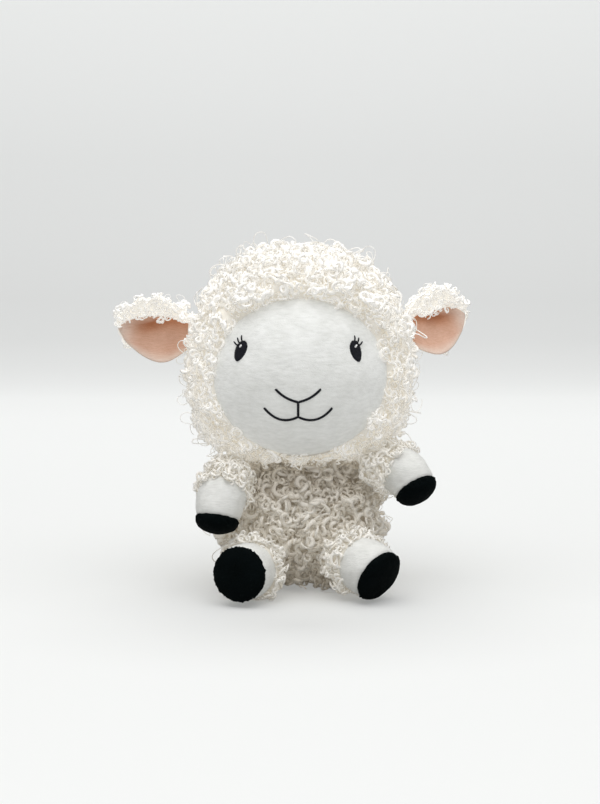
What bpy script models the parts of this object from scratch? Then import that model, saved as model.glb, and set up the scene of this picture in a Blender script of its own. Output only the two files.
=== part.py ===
"""A seated plush sheep, about 20 cm tall: curly fleece body, head, limbs and ears over stuffing.

Metres, +Z up. The sheep faces -Y, and its own right side is at -X. The origin is on the floor, at the
middle of the flat underside of the seat. Every sewn limb turns on a ball that sits in a socket of the
body, so that it can swing as a stuffed limb does on its seam.
"""

import math

import bmesh
import bpy
from mathutils import Matrix, Vector

MM = 0.001
RIGHT, LEFT = -1, 1
SIDE_NAMES = {RIGHT: "right", LEFT: "left"}

# Making sizes that all pieces share
SEAM_GAP = 0.3 * MM  # between two pieces that are sewn or stuffed against each other
SWING_GAP = 0.45 * MM  # round a ball in its socket
FLEECE_WALL = 7.0 * MM  # backing cloth and curled pile
MINKY_WALL = 2.0 * MM  # short plush, with its pile
CUT_OVERRUN = 20.0 * MM  # how far a cutter runs past what it cuts

# Body: an upright barrel with a flat, weighted seat
BODY_WIDTH = 92.0 * MM
BODY_DEPTH = 80.0 * MM
BODY_HEIGHT = 73.0 * MM
BODY_OUTLINE_SHARES = (  # share of the half width, share of the height, from the seat's edge up
    (0.64, 0.0),
    (0.81, 0.055),
    (0.91, 0.17),
    (0.97, 0.34),
    (1.0, 0.53),
    (0.96, 0.70),
    (0.86, 0.84),
    (0.66, 0.94),
    (0.38, 0.985),
)

# Tufts: the curled pile gathers into soft knots all over the head and the body
TUFT_SPACING = 18.0 * MM  # of the wave that makes them; its crests are about three quarters as far apart
TUFT_DEPTH = 1.8 * MM  # of a hollow; the crests reach the smooth form, so the joints stay clear
TUFT_FADE = 12.0 * MM  # height over which they grow from nothing at the seat

# Neck: the round top of the body, on which the head turns and nods
NECK_RADIUS = 30.0 * MM
NECK_DROP = 17.0 * MM  # of the ball's middle, below the top of the body
NECK_SETBACK = 2.0 * MM  # of the ball's middle, behind the body's
NECK_PLUG_RADIUS = 15.0 * MM
NECK_PLUG_LENGTH = 20.0 * MM

# Sack of pellets that weighs the seat down
BEAN_BAG_RADIUS = 19.0 * MM
BEAN_BAG_HEIGHT = 14.0 * MM
BEAN_BAG_SHOULDER_SHARE = 0.2  # of its radius, rounded off at the top

# Head: a rounded block, widest at the cheeks
HEAD_WIDTH = 124.0 * MM
HEAD_DEPTH = 110.0 * MM
HEAD_CROWN = 72.0 * MM  # from the widest level up
HEAD_CHIN = 50.5 * MM  # from the widest level down
HEAD_FORWARD = 3.0 * MM  # of the neck's middle line, to the head's
HEAD_SINK = 15.5 * MM  # how deep the neck ball reaches into the head
HEAD_ROUNDNESS = 2.3  # 2 is an ellipsoid

# Face: a domed oval panel set in the fleece
FACE_WIDTH = 98.0 * MM
FACE_HEIGHT = 89.0 * MM
FACE_BULGE = 22.0 * MM  # from the panel's edge to its middle
FACE_RISE = 2.7 * MM  # of the panel's middle above the head's widest level
FACE_PROUD = 0.5 * MM  # of the panel's middle in front of the head's own round
FACE_DOME_DEPTH = 50.0 * MM

# Embroidery
THREAD_HEIGHT = 0.9 * MM
STITCH_OFFSET = -1.0 * MM  # the face is stitched a little off the middle
EYE_SPREAD_SHARE = 0.647  # of the face's width, from one eye's middle to the other's
EYE_RISE = 15.3 * MM
EYE_LENGTH = 11.8 * MM
EYE_WIDTH = 6.3 * MM
EYE_TILT = 20.0  # degrees, top towards the nose
EYE_EGG_SHARE = 0.14  # how much wider the upper half is
LASH_WIDTH = 0.85 * MM
LASH_SHARES = (  # root and tip, as shares of the eye's length, outwards and up from its middle
    ((0.08, 0.22), (0.31, 0.41)),
    ((0.0, 0.30), (0.15, 0.60)),
    ((-0.10, 0.38), (-0.05, 0.70)),
)
GLINT_RADIUS = 0.95 * MM
GLINT_RISE = 2.7 * MM
NOSE_DROP = 11.9 * MM  # from the panel's middle to the fork of the nose
STROKE_WIDTH = 1.4 * MM
NOSE_HALF_WIDTH = 12.5 * MM
NOSE_HEIGHT = 7.3 * MM
NOSE_SAG_SHARES = (0.6, 0.22)  # of its half width and height, where the fork bows down
PHILTRUM_LENGTH = 8.4 * MM
SMILE_HALF_WIDTH = 18.8 * MM
SMILE_RISE = 5.0 * MM  # of its corners above its middle
SMILE_DIP = 5.6 * MM  # of its control points below its middle
SMILE_DIP_SHARE = 0.56  # of its half width, where the smile pulls down

# Arms: half length runs straight out of the shoulder, half turns down to the hoof
ARM_LENGTH = 46.0 * MM
ARM_RADIUS = 14.2 * MM
SHOULDER_RADIUS = 12.5 * MM
SHOULDER_SPREAD_SHARE = 0.82  # of the body's half width
SHOULDER_HEIGHT_SHARE = 0.87  # of the body's height
SHOULDER_FORWARD_SHARE = 0.42  # of the body's half depth
ARM_CUFF_LENGTH = 18.0 * MM
ARM_OUTLINE_SHARES = (  # share of the length, share of the radius
    (0.0, 0.74),
    (0.15, 0.77),
    (0.30, 0.87),
    (0.50, 0.96),
    (0.70, 1.0),
    (0.88, 0.97),
    (1.0, 0.84),
)
ARM_POSES = {  # yaw outwards and pitch upwards in degrees, at the shoulder and at the hoof
    RIGHT: ((13.0, 9.0), (22.0, -69.0)),
    LEFT: ((72.0, 40.0), (44.0, -50.0)),
}

# Legs: stretched out in front, the feet splayed
LEG_LENGTH = 37.0 * MM
LEG_RADIUS = 16.8 * MM
HIP_RADIUS = 15.0 * MM
HIP_SPREAD_SHARE = 0.51  # of the body's half width
HIP_FORWARD_SHARE = 0.745  # of the body's half depth
FOOT_CLEARANCE = 1.0 * MM  # from the floor to the thickest part of a level foot
FOOT_LENGTH = 21.0 * MM
LEG_OUTLINE_SHARES = (
    (0.0, 0.75),
    (0.18, 0.76),
    (0.36, 0.92),
    (0.58, 0.98),
    (0.76, 1.0),
    (0.90, 0.97),
    (1.0, 0.89),
)
LEG_POSES = {
    RIGHT: ((9.0, -3.0), (20.0, 4.0)),
    LEFT: ((23.5, 20.0), (47.0, -26.0)),
}
LIMB_WALL = 3.0 * MM  # of a limb's fleece and plush
SOLE_WALL = 2.2 * MM  # at the rim of a hoof or a sole
HOOF_BULGE_SHARE = 0.55  # of its radius
SOLE_BULGE_SHARE = 0.30  # of its radius
SOLE_ANGLES = (0, 30, 60, 82)  # degrees, of the rings over the sole's dome

# Ears: cupped leaves of fleece, lined in front
EAR_LENGTH = 47.0 * MM
EAR_WIDTH = 38.0 * MM
EAR_WALL = 5.5 * MM
EAR_LINING_WALL = 1.6 * MM
EAR_CUP = 7.0 * MM  # how far the edges turn forward
EAR_BALL_RADIUS = 6.5 * MM
EAR_RISE = 25.0 * MM  # of the root above the head's widest level
EAR_INSET = 1.0 * MM  # of the root's ball behind the surface of the fleece
EAR_BACK = 3.0 * MM  # of the root behind the head's middle
EAR_OUTLINE_SHARES = (  # share of the length, share of the half width
    (0.10, 0.50),
    (0.22, 0.74),
    (0.36, 0.93),
    (0.52, 1.0),
    (0.70, 0.93),
    (0.85, 0.70),
    (0.95, 0.42),
    (1.0, 0.20),
)
EAR_LINING_PROUD = 0.5 * MM  # in front of the fleece
EAR_LINING_SHARE = 0.68  # of the ear's width
EAR_LINING_DROP_SHARE = 0.28  # of the ear's half width, because the upper edge folds over the lining
EAR_LINING_STOP_SHARE = 0.93  # of the ear's length
EAR_POSES = {  # lift, sweep to the back and roll of the open side downwards, in degrees
    RIGHT: (3.0, 4.0, 8.0),
    LEFT: (12.0, 32.0, 0.0),
}

# Tail: a short stub at the back
TAIL_LENGTH = 20.0 * MM
TAIL_RADIUS = 9.5 * MM
TAIL_BALL_RADIUS = 7.0 * MM
TAIL_HEIGHT = 22.0 * MM
TAIL_INSET = 2.0 * MM
TAIL_PITCH = 8.0  # degrees, upwards
TAIL_OUTLINE_SHARES = ((0.0, 0.60), (0.25, 0.67), (0.5, 0.95), (0.72, 1.0), (0.9, 0.78), (1.0, 0.42))

# Facets
HEAD_SEGMENTS, HEAD_RINGS = 44, 24
CORE_SEGMENTS, CORE_RINGS = 20, 10
FACE_SEGMENTS, FACE_RINGS = 32, 20
BODY_SEGMENTS = 24
BARREL_SEGMENTS = 36
BALL_SEGMENTS, BALL_RINGS = 16, 10
NECK_SEGMENTS, NECK_RINGS = 24, 14
LIMB_SIDES = 14
LIMB_STATIONS = 8  # rings along a whole limb
EAR_STEPS, EAR_ROWS = 7, 6
STROKE_STEPS = 6
SHARP_ANGLE = math.radians(50)  # a corner sharper than this shows as an edge

FLEECE = ("curly_fleece", (0.86, 0.84, 0.80), 0.95)
MINKY = ("white_minky", (0.88, 0.88, 0.86), 0.90)
BLACK = ("black_plush", (0.010, 0.010, 0.012), 0.90)
THREAD = ("black_thread", (0.012, 0.012, 0.014), 0.45)
WHITE_THREAD = ("white_thread", (0.92, 0.92, 0.92), 0.45)
PINK = ("pink_minky", (0.80, 0.50, 0.40), 0.90)
STUFFING = ("polyester_stuffing", (0.92, 0.92, 0.90), 1.0)
PELLETS = ("pellet_sack", (0.70, 0.70, 0.66), 0.80)


def clear_scene():
    for obj in list(bpy.data.objects):
        bpy.data.objects.remove(obj, do_unlink=True)


def collection(name):
    made = bpy.data.collections.new(name)
    bpy.context.scene.collection.children.link(made)
    return made


def material(finish):
    name, colour, roughness = finish
    made = bpy.data.materials.get(name)
    if made is None:
        made = bpy.data.materials.new(name)
        made.use_nodes = True
        shader = made.node_tree.nodes["Principled BSDF"]
        shader.inputs["Base Color"].default_value = (*colour, 1.0)
        shader.inputs["Roughness"].default_value = roughness
        shader.inputs["Metallic"].default_value = 0.0
        made.diffuse_color = (*colour, 1.0)
    return made


def helper(name, mesh):
    """An object that only shapes others: a cutter, or a part of a union."""
    obj = bpy.data.objects.new(name, mesh)
    CUTTERS.objects.link(obj)
    obj.hide_render = True
    obj.display_type = "WIRE"
    return obj


def piece(name, base, finish, pivot):
    """A copy of a helper, with its modifiers, as a named part whose origin is its joint's pivot."""
    mesh = base.data.copy()
    mesh.transform(Matrix.Translation(-pivot.location))
    mesh.shade_smooth()
    mesh.set_sharp_from_angle(angle=SHARP_ANGLE)
    mesh.materials.clear()
    mesh.materials.append(material(finish))
    obj = bpy.data.objects.new(name, mesh)
    SHEEP.objects.link(obj)
    obj.parent = pivot
    for old in base.modifiers:
        boolean(obj, old.object, old.operation)
    return obj


def pivot_at(name, position, parent=None):
    empty = bpy.data.objects.new(name, None)
    SHEEP.objects.link(empty)
    empty.empty_display_size = SHOULDER_RADIUS
    empty.location = position
    if parent is not None:
        empty.parent = parent
        empty.matrix_parent_inverse = Matrix.Translation(-parent.location)
    return empty


def boolean(obj, other, operation):
    modifier = obj.modifiers.new(f"{operation.lower()}_{other.name}", "BOOLEAN")
    modifier.operation = operation
    modifier.object = other
    modifier.solver = "EXACT"


def cut(obj, *cutters):
    for cutter in cutters:
        boolean(obj, cutter, "DIFFERENCE")
    return obj


def join(obj, *others):
    for other in others:
        boolean(obj, other, "UNION")
    return obj


def keep(obj, *others):
    for other in others:
        boolean(obj, other, "INTERSECT")
    return obj


def as_mesh(obj):
    """Turns a curve, or an object with modifiers, into a closed mesh at its place."""
    bpy.context.view_layer.update()
    evaluated = obj.evaluated_get(bpy.context.evaluated_depsgraph_get())
    mesh = bpy.data.meshes.new_from_object(evaluated)
    mesh.transform(obj.matrix_world)
    cage = bmesh.new()
    cage.from_mesh(mesh)
    bmesh.ops.remove_doubles(cage, verts=cage.verts, dist=0.001 * MM)
    bmesh.ops.recalc_face_normals(cage, faces=cage.faces)
    cage.to_mesh(mesh)
    cage.free()
    bpy.data.objects.remove(obj, do_unlink=True)
    return mesh


def smooth(points, steps):
    """A Catmull-Rom curve through the points, as tuples, with its two ends kept."""
    rows = [Vector(p) for p in points]
    rows = [2 * rows[0] - rows[1], *rows, 2 * rows[-1] - rows[-2]]
    curve = []
    for before, start, end, after in zip(rows, rows[1:], rows[2:], rows[3:]):
        for step in range(steps):
            t = step / steps
            slope_in, slope_out = (end - before) / 2, (after - start) / 2
            curve.append(
                start * (2 * t**3 - 3 * t**2 + 1)
                + slope_in * (t**3 - 2 * t**2 + t)
                + end * (3 * t**2 - 2 * t**3)
                + slope_out * (t**3 - t**2)
            )
    return [tuple(p) for p in [*curve, rows[-2]]]


def share_at(shares, where):
    """The second share of a table, read at its first by straight lines."""
    for (low, a), (high, b) in zip(shares, shares[1:]):
        if where <= high:
            return a + (b - a) * max(0.0, where - low) / (high - low)
    return shares[-1][1]


def bent(start, control, end, t):
    """A point on the quadratic curve from start to end."""
    return start * (1 - t) ** 2 + control * 2 * t * (1 - t) + end * t**2


def ball(name, centre, radius, segments=BALL_SEGMENTS, rings=BALL_RINGS):
    return rounded_block(name, centre, (radius,) * 3, radius, 2.0, segments, rings)


def rounded_block(name, centre, radii, lower, roundness, segments, rings):
    """A round solid: radii to the side, to the front and up, and its own radius down."""
    cage = bmesh.new()
    bmesh.ops.create_uvsphere(cage, u_segments=segments, v_segments=rings, radius=1.0)
    for vert in cage.verts:
        total = sum(abs(c) ** roundness for c in vert.co)
        vert.co *= total ** (-1.0 / roundness)
        vert.co.x *= radii[0]
        vert.co.y *= radii[1]
        vert.co.z *= radii[2] if vert.co.z > 0 else lower
        vert.co += centre
    mesh = bpy.data.meshes.new(name)
    cage.to_mesh(mesh)
    cage.free()
    return helper(name, mesh)


def turned(name, outline, segments, depth_share=1.0):
    """A solid of revolution round Z from (radius, height) points, top first, squeezed along Y."""
    mesh = bpy.data.meshes.new(name)
    points = [(radius, 0, height) for radius, height in outline]
    mesh.from_pydata(points, [(i, i + 1) for i in range(len(points) - 1)], [])
    obj = helper(name, mesh)
    screw = obj.modifiers.new("turn", "SCREW")
    screw.steps = screw.render_steps = segments
    screw.use_merge_vertices = True
    screw.merge_threshold = 0.01 * MM
    solid = as_mesh(obj)
    solid.transform(Matrix.Diagonal((1, depth_share, 1, 1)))
    return helper(name, solid)


def rod(name, rings):
    """A loft through rings of (centre, way, radius), closed by flat ends."""
    cage = bmesh.new()
    loops = []
    for centre, way, radius in rings:
        across = way.cross(Vector((0, 0, 1))).normalized()
        frame = Matrix((across, across.cross(way), way)).transposed().to_4x4()
        made = bmesh.ops.create_circle(
            cage, segments=LIMB_SIDES, radius=radius, matrix=Matrix.Translation(centre) @ frame
        )
        loops.append(made["verts"])
    for low, high in zip(loops, loops[1:]):
        for i in range(LIMB_SIDES):
            j = (i + 1) % LIMB_SIDES
            cage.faces.new((low[i], low[j], high[j], high[i]))
    cage.faces.new(loops[0][::-1])
    cage.faces.new(loops[-1])
    bmesh.ops.recalc_face_normals(cage, faces=cage.faces)
    mesh = bpy.data.meshes.new(name)
    cage.to_mesh(mesh)
    cage.free()
    return helper(name, mesh)


def prism(name, outline, front, back):
    """An outline in X and Z, pushed along Y from front to back."""
    curve = bpy.data.curves.new(name, "CURVE")
    curve.dimensions = "2D"
    curve.fill_mode = "BOTH"
    curve.extrude = (back - front) / 2
    spline = curve.splines.new("POLY")
    spline.points.add(len(outline) - 1)
    spline.use_cyclic_u = True
    for point, (x, z) in zip(spline.points, outline):
        point.co = (x, z, 0.0, 1.0)
    obj = helper(name + "_outline", curve)
    obj.matrix_world = Matrix.Translation((0, (front + back) / 2, 0)) @ Matrix.Rotation(math.pi / 2, 4, "X")
    return helper(name, as_mesh(obj))


def oval(centre, half_width, half_height, steps, egg=0.0, turn=0.0):
    """An oval outline in X and Z, whose upper half may be the wider, turned about its middle."""
    points = []
    for step in range(steps):
        angle = 2 * math.pi * step / steps
        x = half_width * math.sin(angle) * (1 + egg * math.cos(angle))
        z = half_height * math.cos(angle)
        points.append(
            (
                centre[0] + x * math.cos(turn) + z * math.sin(turn),
                centre[1] - x * math.sin(turn) + z * math.cos(turn),
            )
        )
    return points


def stroke(points, width):
    """The outline of a stitched line with squared ends, from its middle line in X and Z."""
    rows = [Vector(p) for p in points]
    left, right = [], []
    for i, row in enumerate(rows):
        along = (rows[min(i + 1, len(rows) - 1)] - rows[max(i - 1, 0)]).normalized()
        across = Vector((-along.y, along.x)) * width / 2
        left.append(tuple(row + across))
        right.append(tuple(row - across))
    return left + right[::-1]


def direction(side, yaw, pitch):
    """A unit vector that points forward, turned outwards by yaw and up by pitch, in degrees."""
    yaw, pitch = math.radians(yaw), math.radians(pitch)
    return Vector((side * math.sin(yaw) * math.cos(pitch), -math.cos(yaw) * math.cos(pitch), math.sin(pitch)))


# Places that several pieces share
BODY_HALF_WIDTH = BODY_WIDTH / 2
BODY_DEPTH_SHARE = BODY_DEPTH / BODY_WIDTH
NECK = Vector((0, NECK_SETBACK, BODY_HEIGHT - NECK_DROP))
HEAD = NECK + Vector((0, -HEAD_FORWARD - NECK_SETBACK, NECK_RADIUS - HEAD_SINK + HEAD_CHIN))
FACE_HALF_WIDTH, FACE_HALF_HEIGHT = FACE_WIDTH / 2, FACE_HEIGHT / 2
FACE_FRONT = HEAD.y - HEAD_DEPTH / 2 - FACE_PROUD
FACE = Vector((0, FACE_FRONT + FACE_DOME_DEPTH, HEAD.z + FACE_RISE))  # the dome's middle


def body_outline(inset):
    """The barrel, drawn in by a wall, top first."""
    width, height = BODY_HALF_WIDTH - inset, BODY_HEIGHT - 2 * inset
    shares = [(0.0, BODY_OUTLINE_SHARES[0][1]), *smooth(BODY_OUTLINE_SHARES, 2), (0.0, 1.0)]
    return [(radius * width, inset + level * height) for radius, level in reversed(shares)]


def tuft(point):
    """How far the pile falls back at a point: nothing on a crest and its whole depth in a hollow."""
    x, y, z = (2 * math.pi * c / TUFT_SPACING for c in point)
    wave = math.sin(x) * math.cos(y) + math.sin(y) * math.cos(z) + math.sin(z) * math.cos(x)
    return TUFT_DEPTH * (1 - max(-1.0, min(1.0, wave))) / 2


def tufted(obj, middle, level):
    """Lets a fleece form's points fall back towards its middle, or level with them towards its axis."""
    for vert in obj.data.vertices:
        way = vert.co - middle
        if level:
            way.z = 0
        fade = min(1.0, vert.co.z / TUFT_FADE)
        vert.co -= way.normalized() * tuft(vert.co) * fade
    return obj


def body_solid(name, inset, segments=BODY_SEGMENTS):
    barrel = turned(name, body_outline(inset), segments, BODY_DEPTH_SHARE)
    if not inset:
        tufted(barrel, Vector((0, 0, 0)), level=True)
    return join(barrel, ball(name + "_neck", NECK, NECK_RADIUS - inset, NECK_SEGMENTS, NECK_RINGS))


def head_solid(name, inset, segments, rings):
    radii = (HEAD_WIDTH / 2 - inset, HEAD_DEPTH / 2 - inset, HEAD_CROWN - inset)
    return rounded_block(name, HEAD, radii, HEAD_CHIN - inset, HEAD_ROUNDNESS, segments, rings)


def face_dome(name, proud):
    """The ellipsoid whose front is the face, set out by proud."""
    slope_share = math.sqrt(1 - (1 - FACE_BULGE / FACE_DOME_DEPTH) ** 2)
    radii = (
        FACE_HALF_WIDTH / slope_share + proud,
        FACE_DOME_DEPTH + proud,
        FACE_HALF_HEIGHT / slope_share + proud,
    )
    return rounded_block(name, FACE, radii, radii[2], 2.0, FACE_SEGMENTS, FACE_RINGS)


def face_prism(name, margin):
    """The oval of the face, pushed from well in front of it to behind its edge."""
    outline = oval((0, FACE.z), FACE_HALF_WIDTH + margin, FACE_HALF_HEIGHT + margin, FACE_SEGMENTS)
    return prism(name, outline, FACE_FRONT - CUT_OVERRUN, FACE_FRONT + FACE_BULGE + CUT_OVERRUN)


class Limb:
    """An arm or a leg: its pivot, its bent middle line and its outline."""

    def __init__(self, name, side, pivot, length, radius, outline, poses, bulge):
        root, end = (direction(side, *pose) for pose in poses)
        self.name, self.pivot, self.length, self.radius, self.bulge = name, pivot, length, radius, bulge
        self.outline = smooth(outline, 2)
        self.control = pivot + root * length / 2
        self.end, self.end_way = self.control + end * length / 2, end

    def centre(self, share):
        """A point on the middle line, which runs straight on past its end."""
        if share > 1:
            return self.end + self.end_way * (share - 1) * self.length
        return bent(self.pivot, self.control, self.end, share)

    def way(self, share):
        if share > 1:
            return self.end_way
        return ((self.control - self.pivot) * (1 - share) + (self.end - self.control) * share).normalized()

    def rod(self, name, start, stop, inset):
        """The limb from one share of its length to another, drawn in by a wall."""
        stations = [i / LIMB_STATIONS for i in range(LIMB_STATIONS + 1)]
        margin = 0.25 / LIMB_STATIONS
        shares = [start, *(s for s in stations if start + margin < s < stop - margin), stop]
        rings = [
            (self.centre(s), self.way(s), share_at(self.outline, s) * self.radius - inset) for s in shares
        ]
        return rod(f"{self.name}_{name}", rings)

    def sole(self, name, gap):
        """The puffed end cap: a short straight rim, then a low dome."""
        radius = share_at(self.outline, 1.0) * self.radius
        height = self.bulge * radius
        rows = [(gap, radius)]
        for degrees in SOLE_ANGLES:
            turn = math.radians(degrees)
            rows.append((gap + SOLE_WALL + height * math.sin(turn), radius * math.cos(turn)))
        rings = [(self.end + self.end_way * along, self.end_way, size) for along, size in rows]
        return rod(f"{self.name}_{name}", rings)


def make_limb(limb, cover_length, cover_name, sole_name, ball_radius, pivot):
    """Fleece sock, short plush cover, sole and stuffing of one limb."""
    split = 1 - cover_length / limb.length
    gap_share = SEAM_GAP / limb.length
    past_share = 1.0 + CUT_OVERRUN / limb.length
    bore = limb.rod("bore", 0.0, past_share, LIMB_WALL)
    root = ball(limb.name + "_ball", limb.pivot, ball_radius)
    sock = join(limb.rod("sock", 0.0, split - gap_share, 0.0), root)
    piece(f"{limb.name}_fleece", cut(sock, bore), FLEECE, pivot)
    piece(f"{limb.name}_{cover_name}", cut(limb.rod("cover", split, 1.0, 0.0), bore), MINKY, pivot)
    piece(f"{limb.name}_{sole_name}", limb.sole("sole_form", SEAM_GAP), BLACK, pivot)
    core = limb.rod("core", gap_share, 1.0, LIMB_WALL + SEAM_GAP)
    piece(f"{limb.name}_stuffing", core, STUFFING, pivot)


def make_body(sockets):
    outside = body_solid("body_outside", 0.0, BARREL_SEGMENTS)
    cavity = body_solid("body_cavity", FLEECE_WALL)
    core = body_solid("body_core", FLEECE_WALL + SEAM_GAP)
    plug_bottom = NECK.z + math.sqrt(NECK_RADIUS**2 - NECK_PLUG_RADIUS**2) - NECK_PLUG_LENGTH
    hole = turned(
        "neck_hole",
        plug_outline(NECK_PLUG_RADIUS + SWING_GAP, NECK.z + NECK_RADIUS + CUT_OVERRUN, plug_bottom - SWING_GAP),
        BODY_SEGMENTS,
    )
    plug = turned(
        "neck_plug",
        plug_outline(NECK_PLUG_RADIUS, NECK.z + NECK_RADIUS + CUT_OVERRUN, plug_bottom),
        BODY_SEGMENTS,
    )
    for solid in (hole, plug):
        solid.data.transform(Matrix.Translation((0, NECK.y, 0)))
    pocket_floor = -CUT_OVERRUN
    pocket = turned(
        "bean_pocket",
        bag_outline(BEAN_BAG_RADIUS + SEAM_GAP, pocket_floor, FLEECE_WALL + 2 * SEAM_GAP + BEAN_BAG_HEIGHT),
        BODY_SEGMENTS,
        BODY_DEPTH_SHARE,
    )
    bag = turned(
        "bean_bag_form",
        bag_outline(BEAN_BAG_RADIUS, FLEECE_WALL + SEAM_GAP, FLEECE_WALL + SEAM_GAP + BEAN_BAG_HEIGHT),
        BODY_SEGMENTS,
        BODY_DEPTH_SHARE,
    )
    piece("body_fleece", cut(outside, cavity, hole, *sockets), FLEECE, SEAT)
    piece("body_stuffing", cut(core, hole, pocket, *sockets), STUFFING, SEAT)
    piece("bean_bag", bag, PELLETS, SEAT)
    neck_ball = ball("neck_ball", NECK, NECK_RADIUS, NECK_SEGMENTS, NECK_RINGS)
    piece("neck_stuffing", keep(plug, neck_ball), STUFFING, NECK_PIVOT)


def plug_outline(radius, top, bottom):
    return [(0.0, top), (radius, top), (radius, bottom), (0.0, bottom)]


def bag_outline(radius, bottom, top):
    """A flat bottomed sack with a bevelled shoulder."""
    shoulder = BEAN_BAG_SHOULDER_SHARE * radius
    return [(0.0, top), (radius - shoulder, top), (radius, top - shoulder), (radius, bottom), (0.0, bottom)]


def make_head(ear_sockets):
    neck_socket = ball("neck_socket", NECK, NECK_RADIUS + SWING_GAP, NECK_SEGMENTS, NECK_RINGS)
    opening = face_prism("face_opening", SEAM_GAP)
    outside = tufted(head_solid("head_outside", 0.0, HEAD_SEGMENTS, HEAD_RINGS), HEAD, level=False)
    cavity = head_solid("head_cavity", FLEECE_WALL, CORE_SEGMENTS, CORE_RINGS)
    piece("head_fleece", cut(outside, cavity, opening, neck_socket, *ear_sockets), FLEECE, HEAD_PIVOT)

    panel = cut(keep(face_dome("face_skin", 0.0), face_prism("face_edge", 0.0)), face_dome("face_back", -MINKY_WALL))
    piece("face_panel", panel, MINKY, HEAD_PIVOT)

    in_front = cut(face_prism("face_space", SEAM_GAP), face_dome("face_core", -MINKY_WALL - SEAM_GAP))
    filling = oval((0, FACE.z), FACE_HALF_WIDTH - SEAM_GAP, FACE_HALF_HEIGHT - SEAM_GAP, FACE_SEGMENTS)
    face_filling = prism("face_filling", filling, FACE_FRONT, HEAD.y)
    core = join(head_solid("head_core", FLEECE_WALL + SEAM_GAP, CORE_SEGMENTS, CORE_RINGS), face_filling)
    piece("head_stuffing", cut(core, in_front, neck_socket, *ear_sockets), STUFFING, HEAD_PIVOT)


def stitched(name, outlines, finish, holes=()):
    """Raised thread on the face: outlines pushed through a thin skin over the dome."""
    front, back = FACE_FRONT - CUT_OVERRUN, FACE_FRONT + FACE_BULGE
    skin_out = face_dome(name + "_thread_top", SEAM_GAP + THREAD_HEIGHT)
    skin_in = face_dome(name + "_thread_base", SEAM_GAP)
    first, *others = [prism(f"{name}_stroke_{i}", outline, front, back) for i, outline in enumerate(outlines)]
    shape = keep(join(first, *others), skin_out)
    cutters = [prism(f"{name}_hole_{i}", outline, front, back) for i, outline in enumerate(holes)]
    piece(name, cut(shape, skin_in, *cutters), finish, HEAD_PIVOT)


def make_eye(side):
    centre = (STITCH_OFFSET + side * EYE_SPREAD_SHARE * FACE_WIDTH / 2, FACE.z + EYE_RISE)
    tilt = math.radians(-side * EYE_TILT)
    outlines = [oval(centre, EYE_WIDTH / 2, EYE_LENGTH / 2, 2 * STROKE_STEPS, EYE_EGG_SHARE, tilt)]
    for ends in LASH_SHARES:
        line = [(centre[0] + side * out * EYE_LENGTH, centre[1] + up * EYE_LENGTH) for out, up in ends]
        outlines.append(stroke(line, LASH_WIDTH))
    glint = (centre[0], centre[1] + GLINT_RISE)
    hole = oval(glint, GLINT_RADIUS + SEAM_GAP, GLINT_RADIUS + SEAM_GAP, STROKE_STEPS)
    name = SIDE_NAMES[side] + "_eye"
    stitched(name, outlines, THREAD, [hole])
    stitched(name + "_glint", [oval(glint, GLINT_RADIUS, GLINT_RADIUS, STROKE_STEPS)], WHITE_THREAD)


def make_nose_and_mouth():
    """A forked nose, the short line under it and a smile of two arcs."""
    fork = Vector((STITCH_OFFSET, FACE.z - NOSE_DROP))
    middle = fork - Vector((0, PHILTRUM_LENGTH))
    outlines = [stroke([fork + Vector((0, STROKE_WIDTH / 2)), middle - Vector((0, STROKE_WIDTH / 2))], STROKE_WIDTH)]
    for side in (RIGHT, LEFT):
        nostril = fork + Vector((side * NOSE_HALF_WIDTH, NOSE_HEIGHT))
        sag = fork + Vector((side * NOSE_HALF_WIDTH * NOSE_SAG_SHARES[0], NOSE_HEIGHT * NOSE_SAG_SHARES[1]))
        corner = middle + Vector((side * SMILE_HALF_WIDTH, SMILE_RISE))
        dip = middle + Vector((side * SMILE_HALF_WIDTH * SMILE_DIP_SHARE, -SMILE_DIP))
        for start, control, end in ((fork, sag, nostril), (middle, dip, corner)):
            line = [bent(start, control, end, i / STROKE_STEPS) for i in range(STROKE_STEPS + 1)]
            outlines.append(stroke(line, STROKE_WIDTH))
    stitched("nose_and_mouth", outlines, THREAD)


def ear_leaf(name, side, root, start, stop, share, drop, proud, wall):
    """A cupped leaf from a grid: part of the ear's length and width, lowered and set forward."""
    lift, sweep, roll = (math.radians(a) for a in EAR_POSES[side])
    place = (
        Matrix.Translation(root)
        @ Matrix.Rotation(-side * lift, 4, "Y")
        @ Matrix.Rotation(side * sweep, 4, "Z")
        @ Matrix.Rotation(roll, 4, "X")
    )
    cage = bmesh.new()
    bmesh.ops.create_grid(cage, x_segments=EAR_STEPS, y_segments=EAR_ROWS, size=1.0)
    outline = smooth(EAR_OUTLINE_SHARES, 2)
    for vert in cage.verts:
        along = start + (stop - start) * (vert.co.x + 1) / 2
        across = share_at(outline, along / stop) * (vert.co.y * share - drop)
        cup = EAR_CUP * across**2
        vert.co = Vector((side * along * EAR_LENGTH, -cup - proud, across * EAR_WIDTH / 2))
    bmesh.ops.transform(cage, matrix=place, verts=cage.verts)
    mesh = bpy.data.meshes.new(name)
    cage.to_mesh(mesh)
    cage.free()
    obj = helper(name + "_leaf", mesh)
    skin = obj.modifiers.new("wall", "SOLIDIFY")
    skin.thickness = wall
    skin.offset = side if proud else -side  # the grid's normal points forward on the left ear
    return helper(name, as_mesh(obj))


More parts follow.
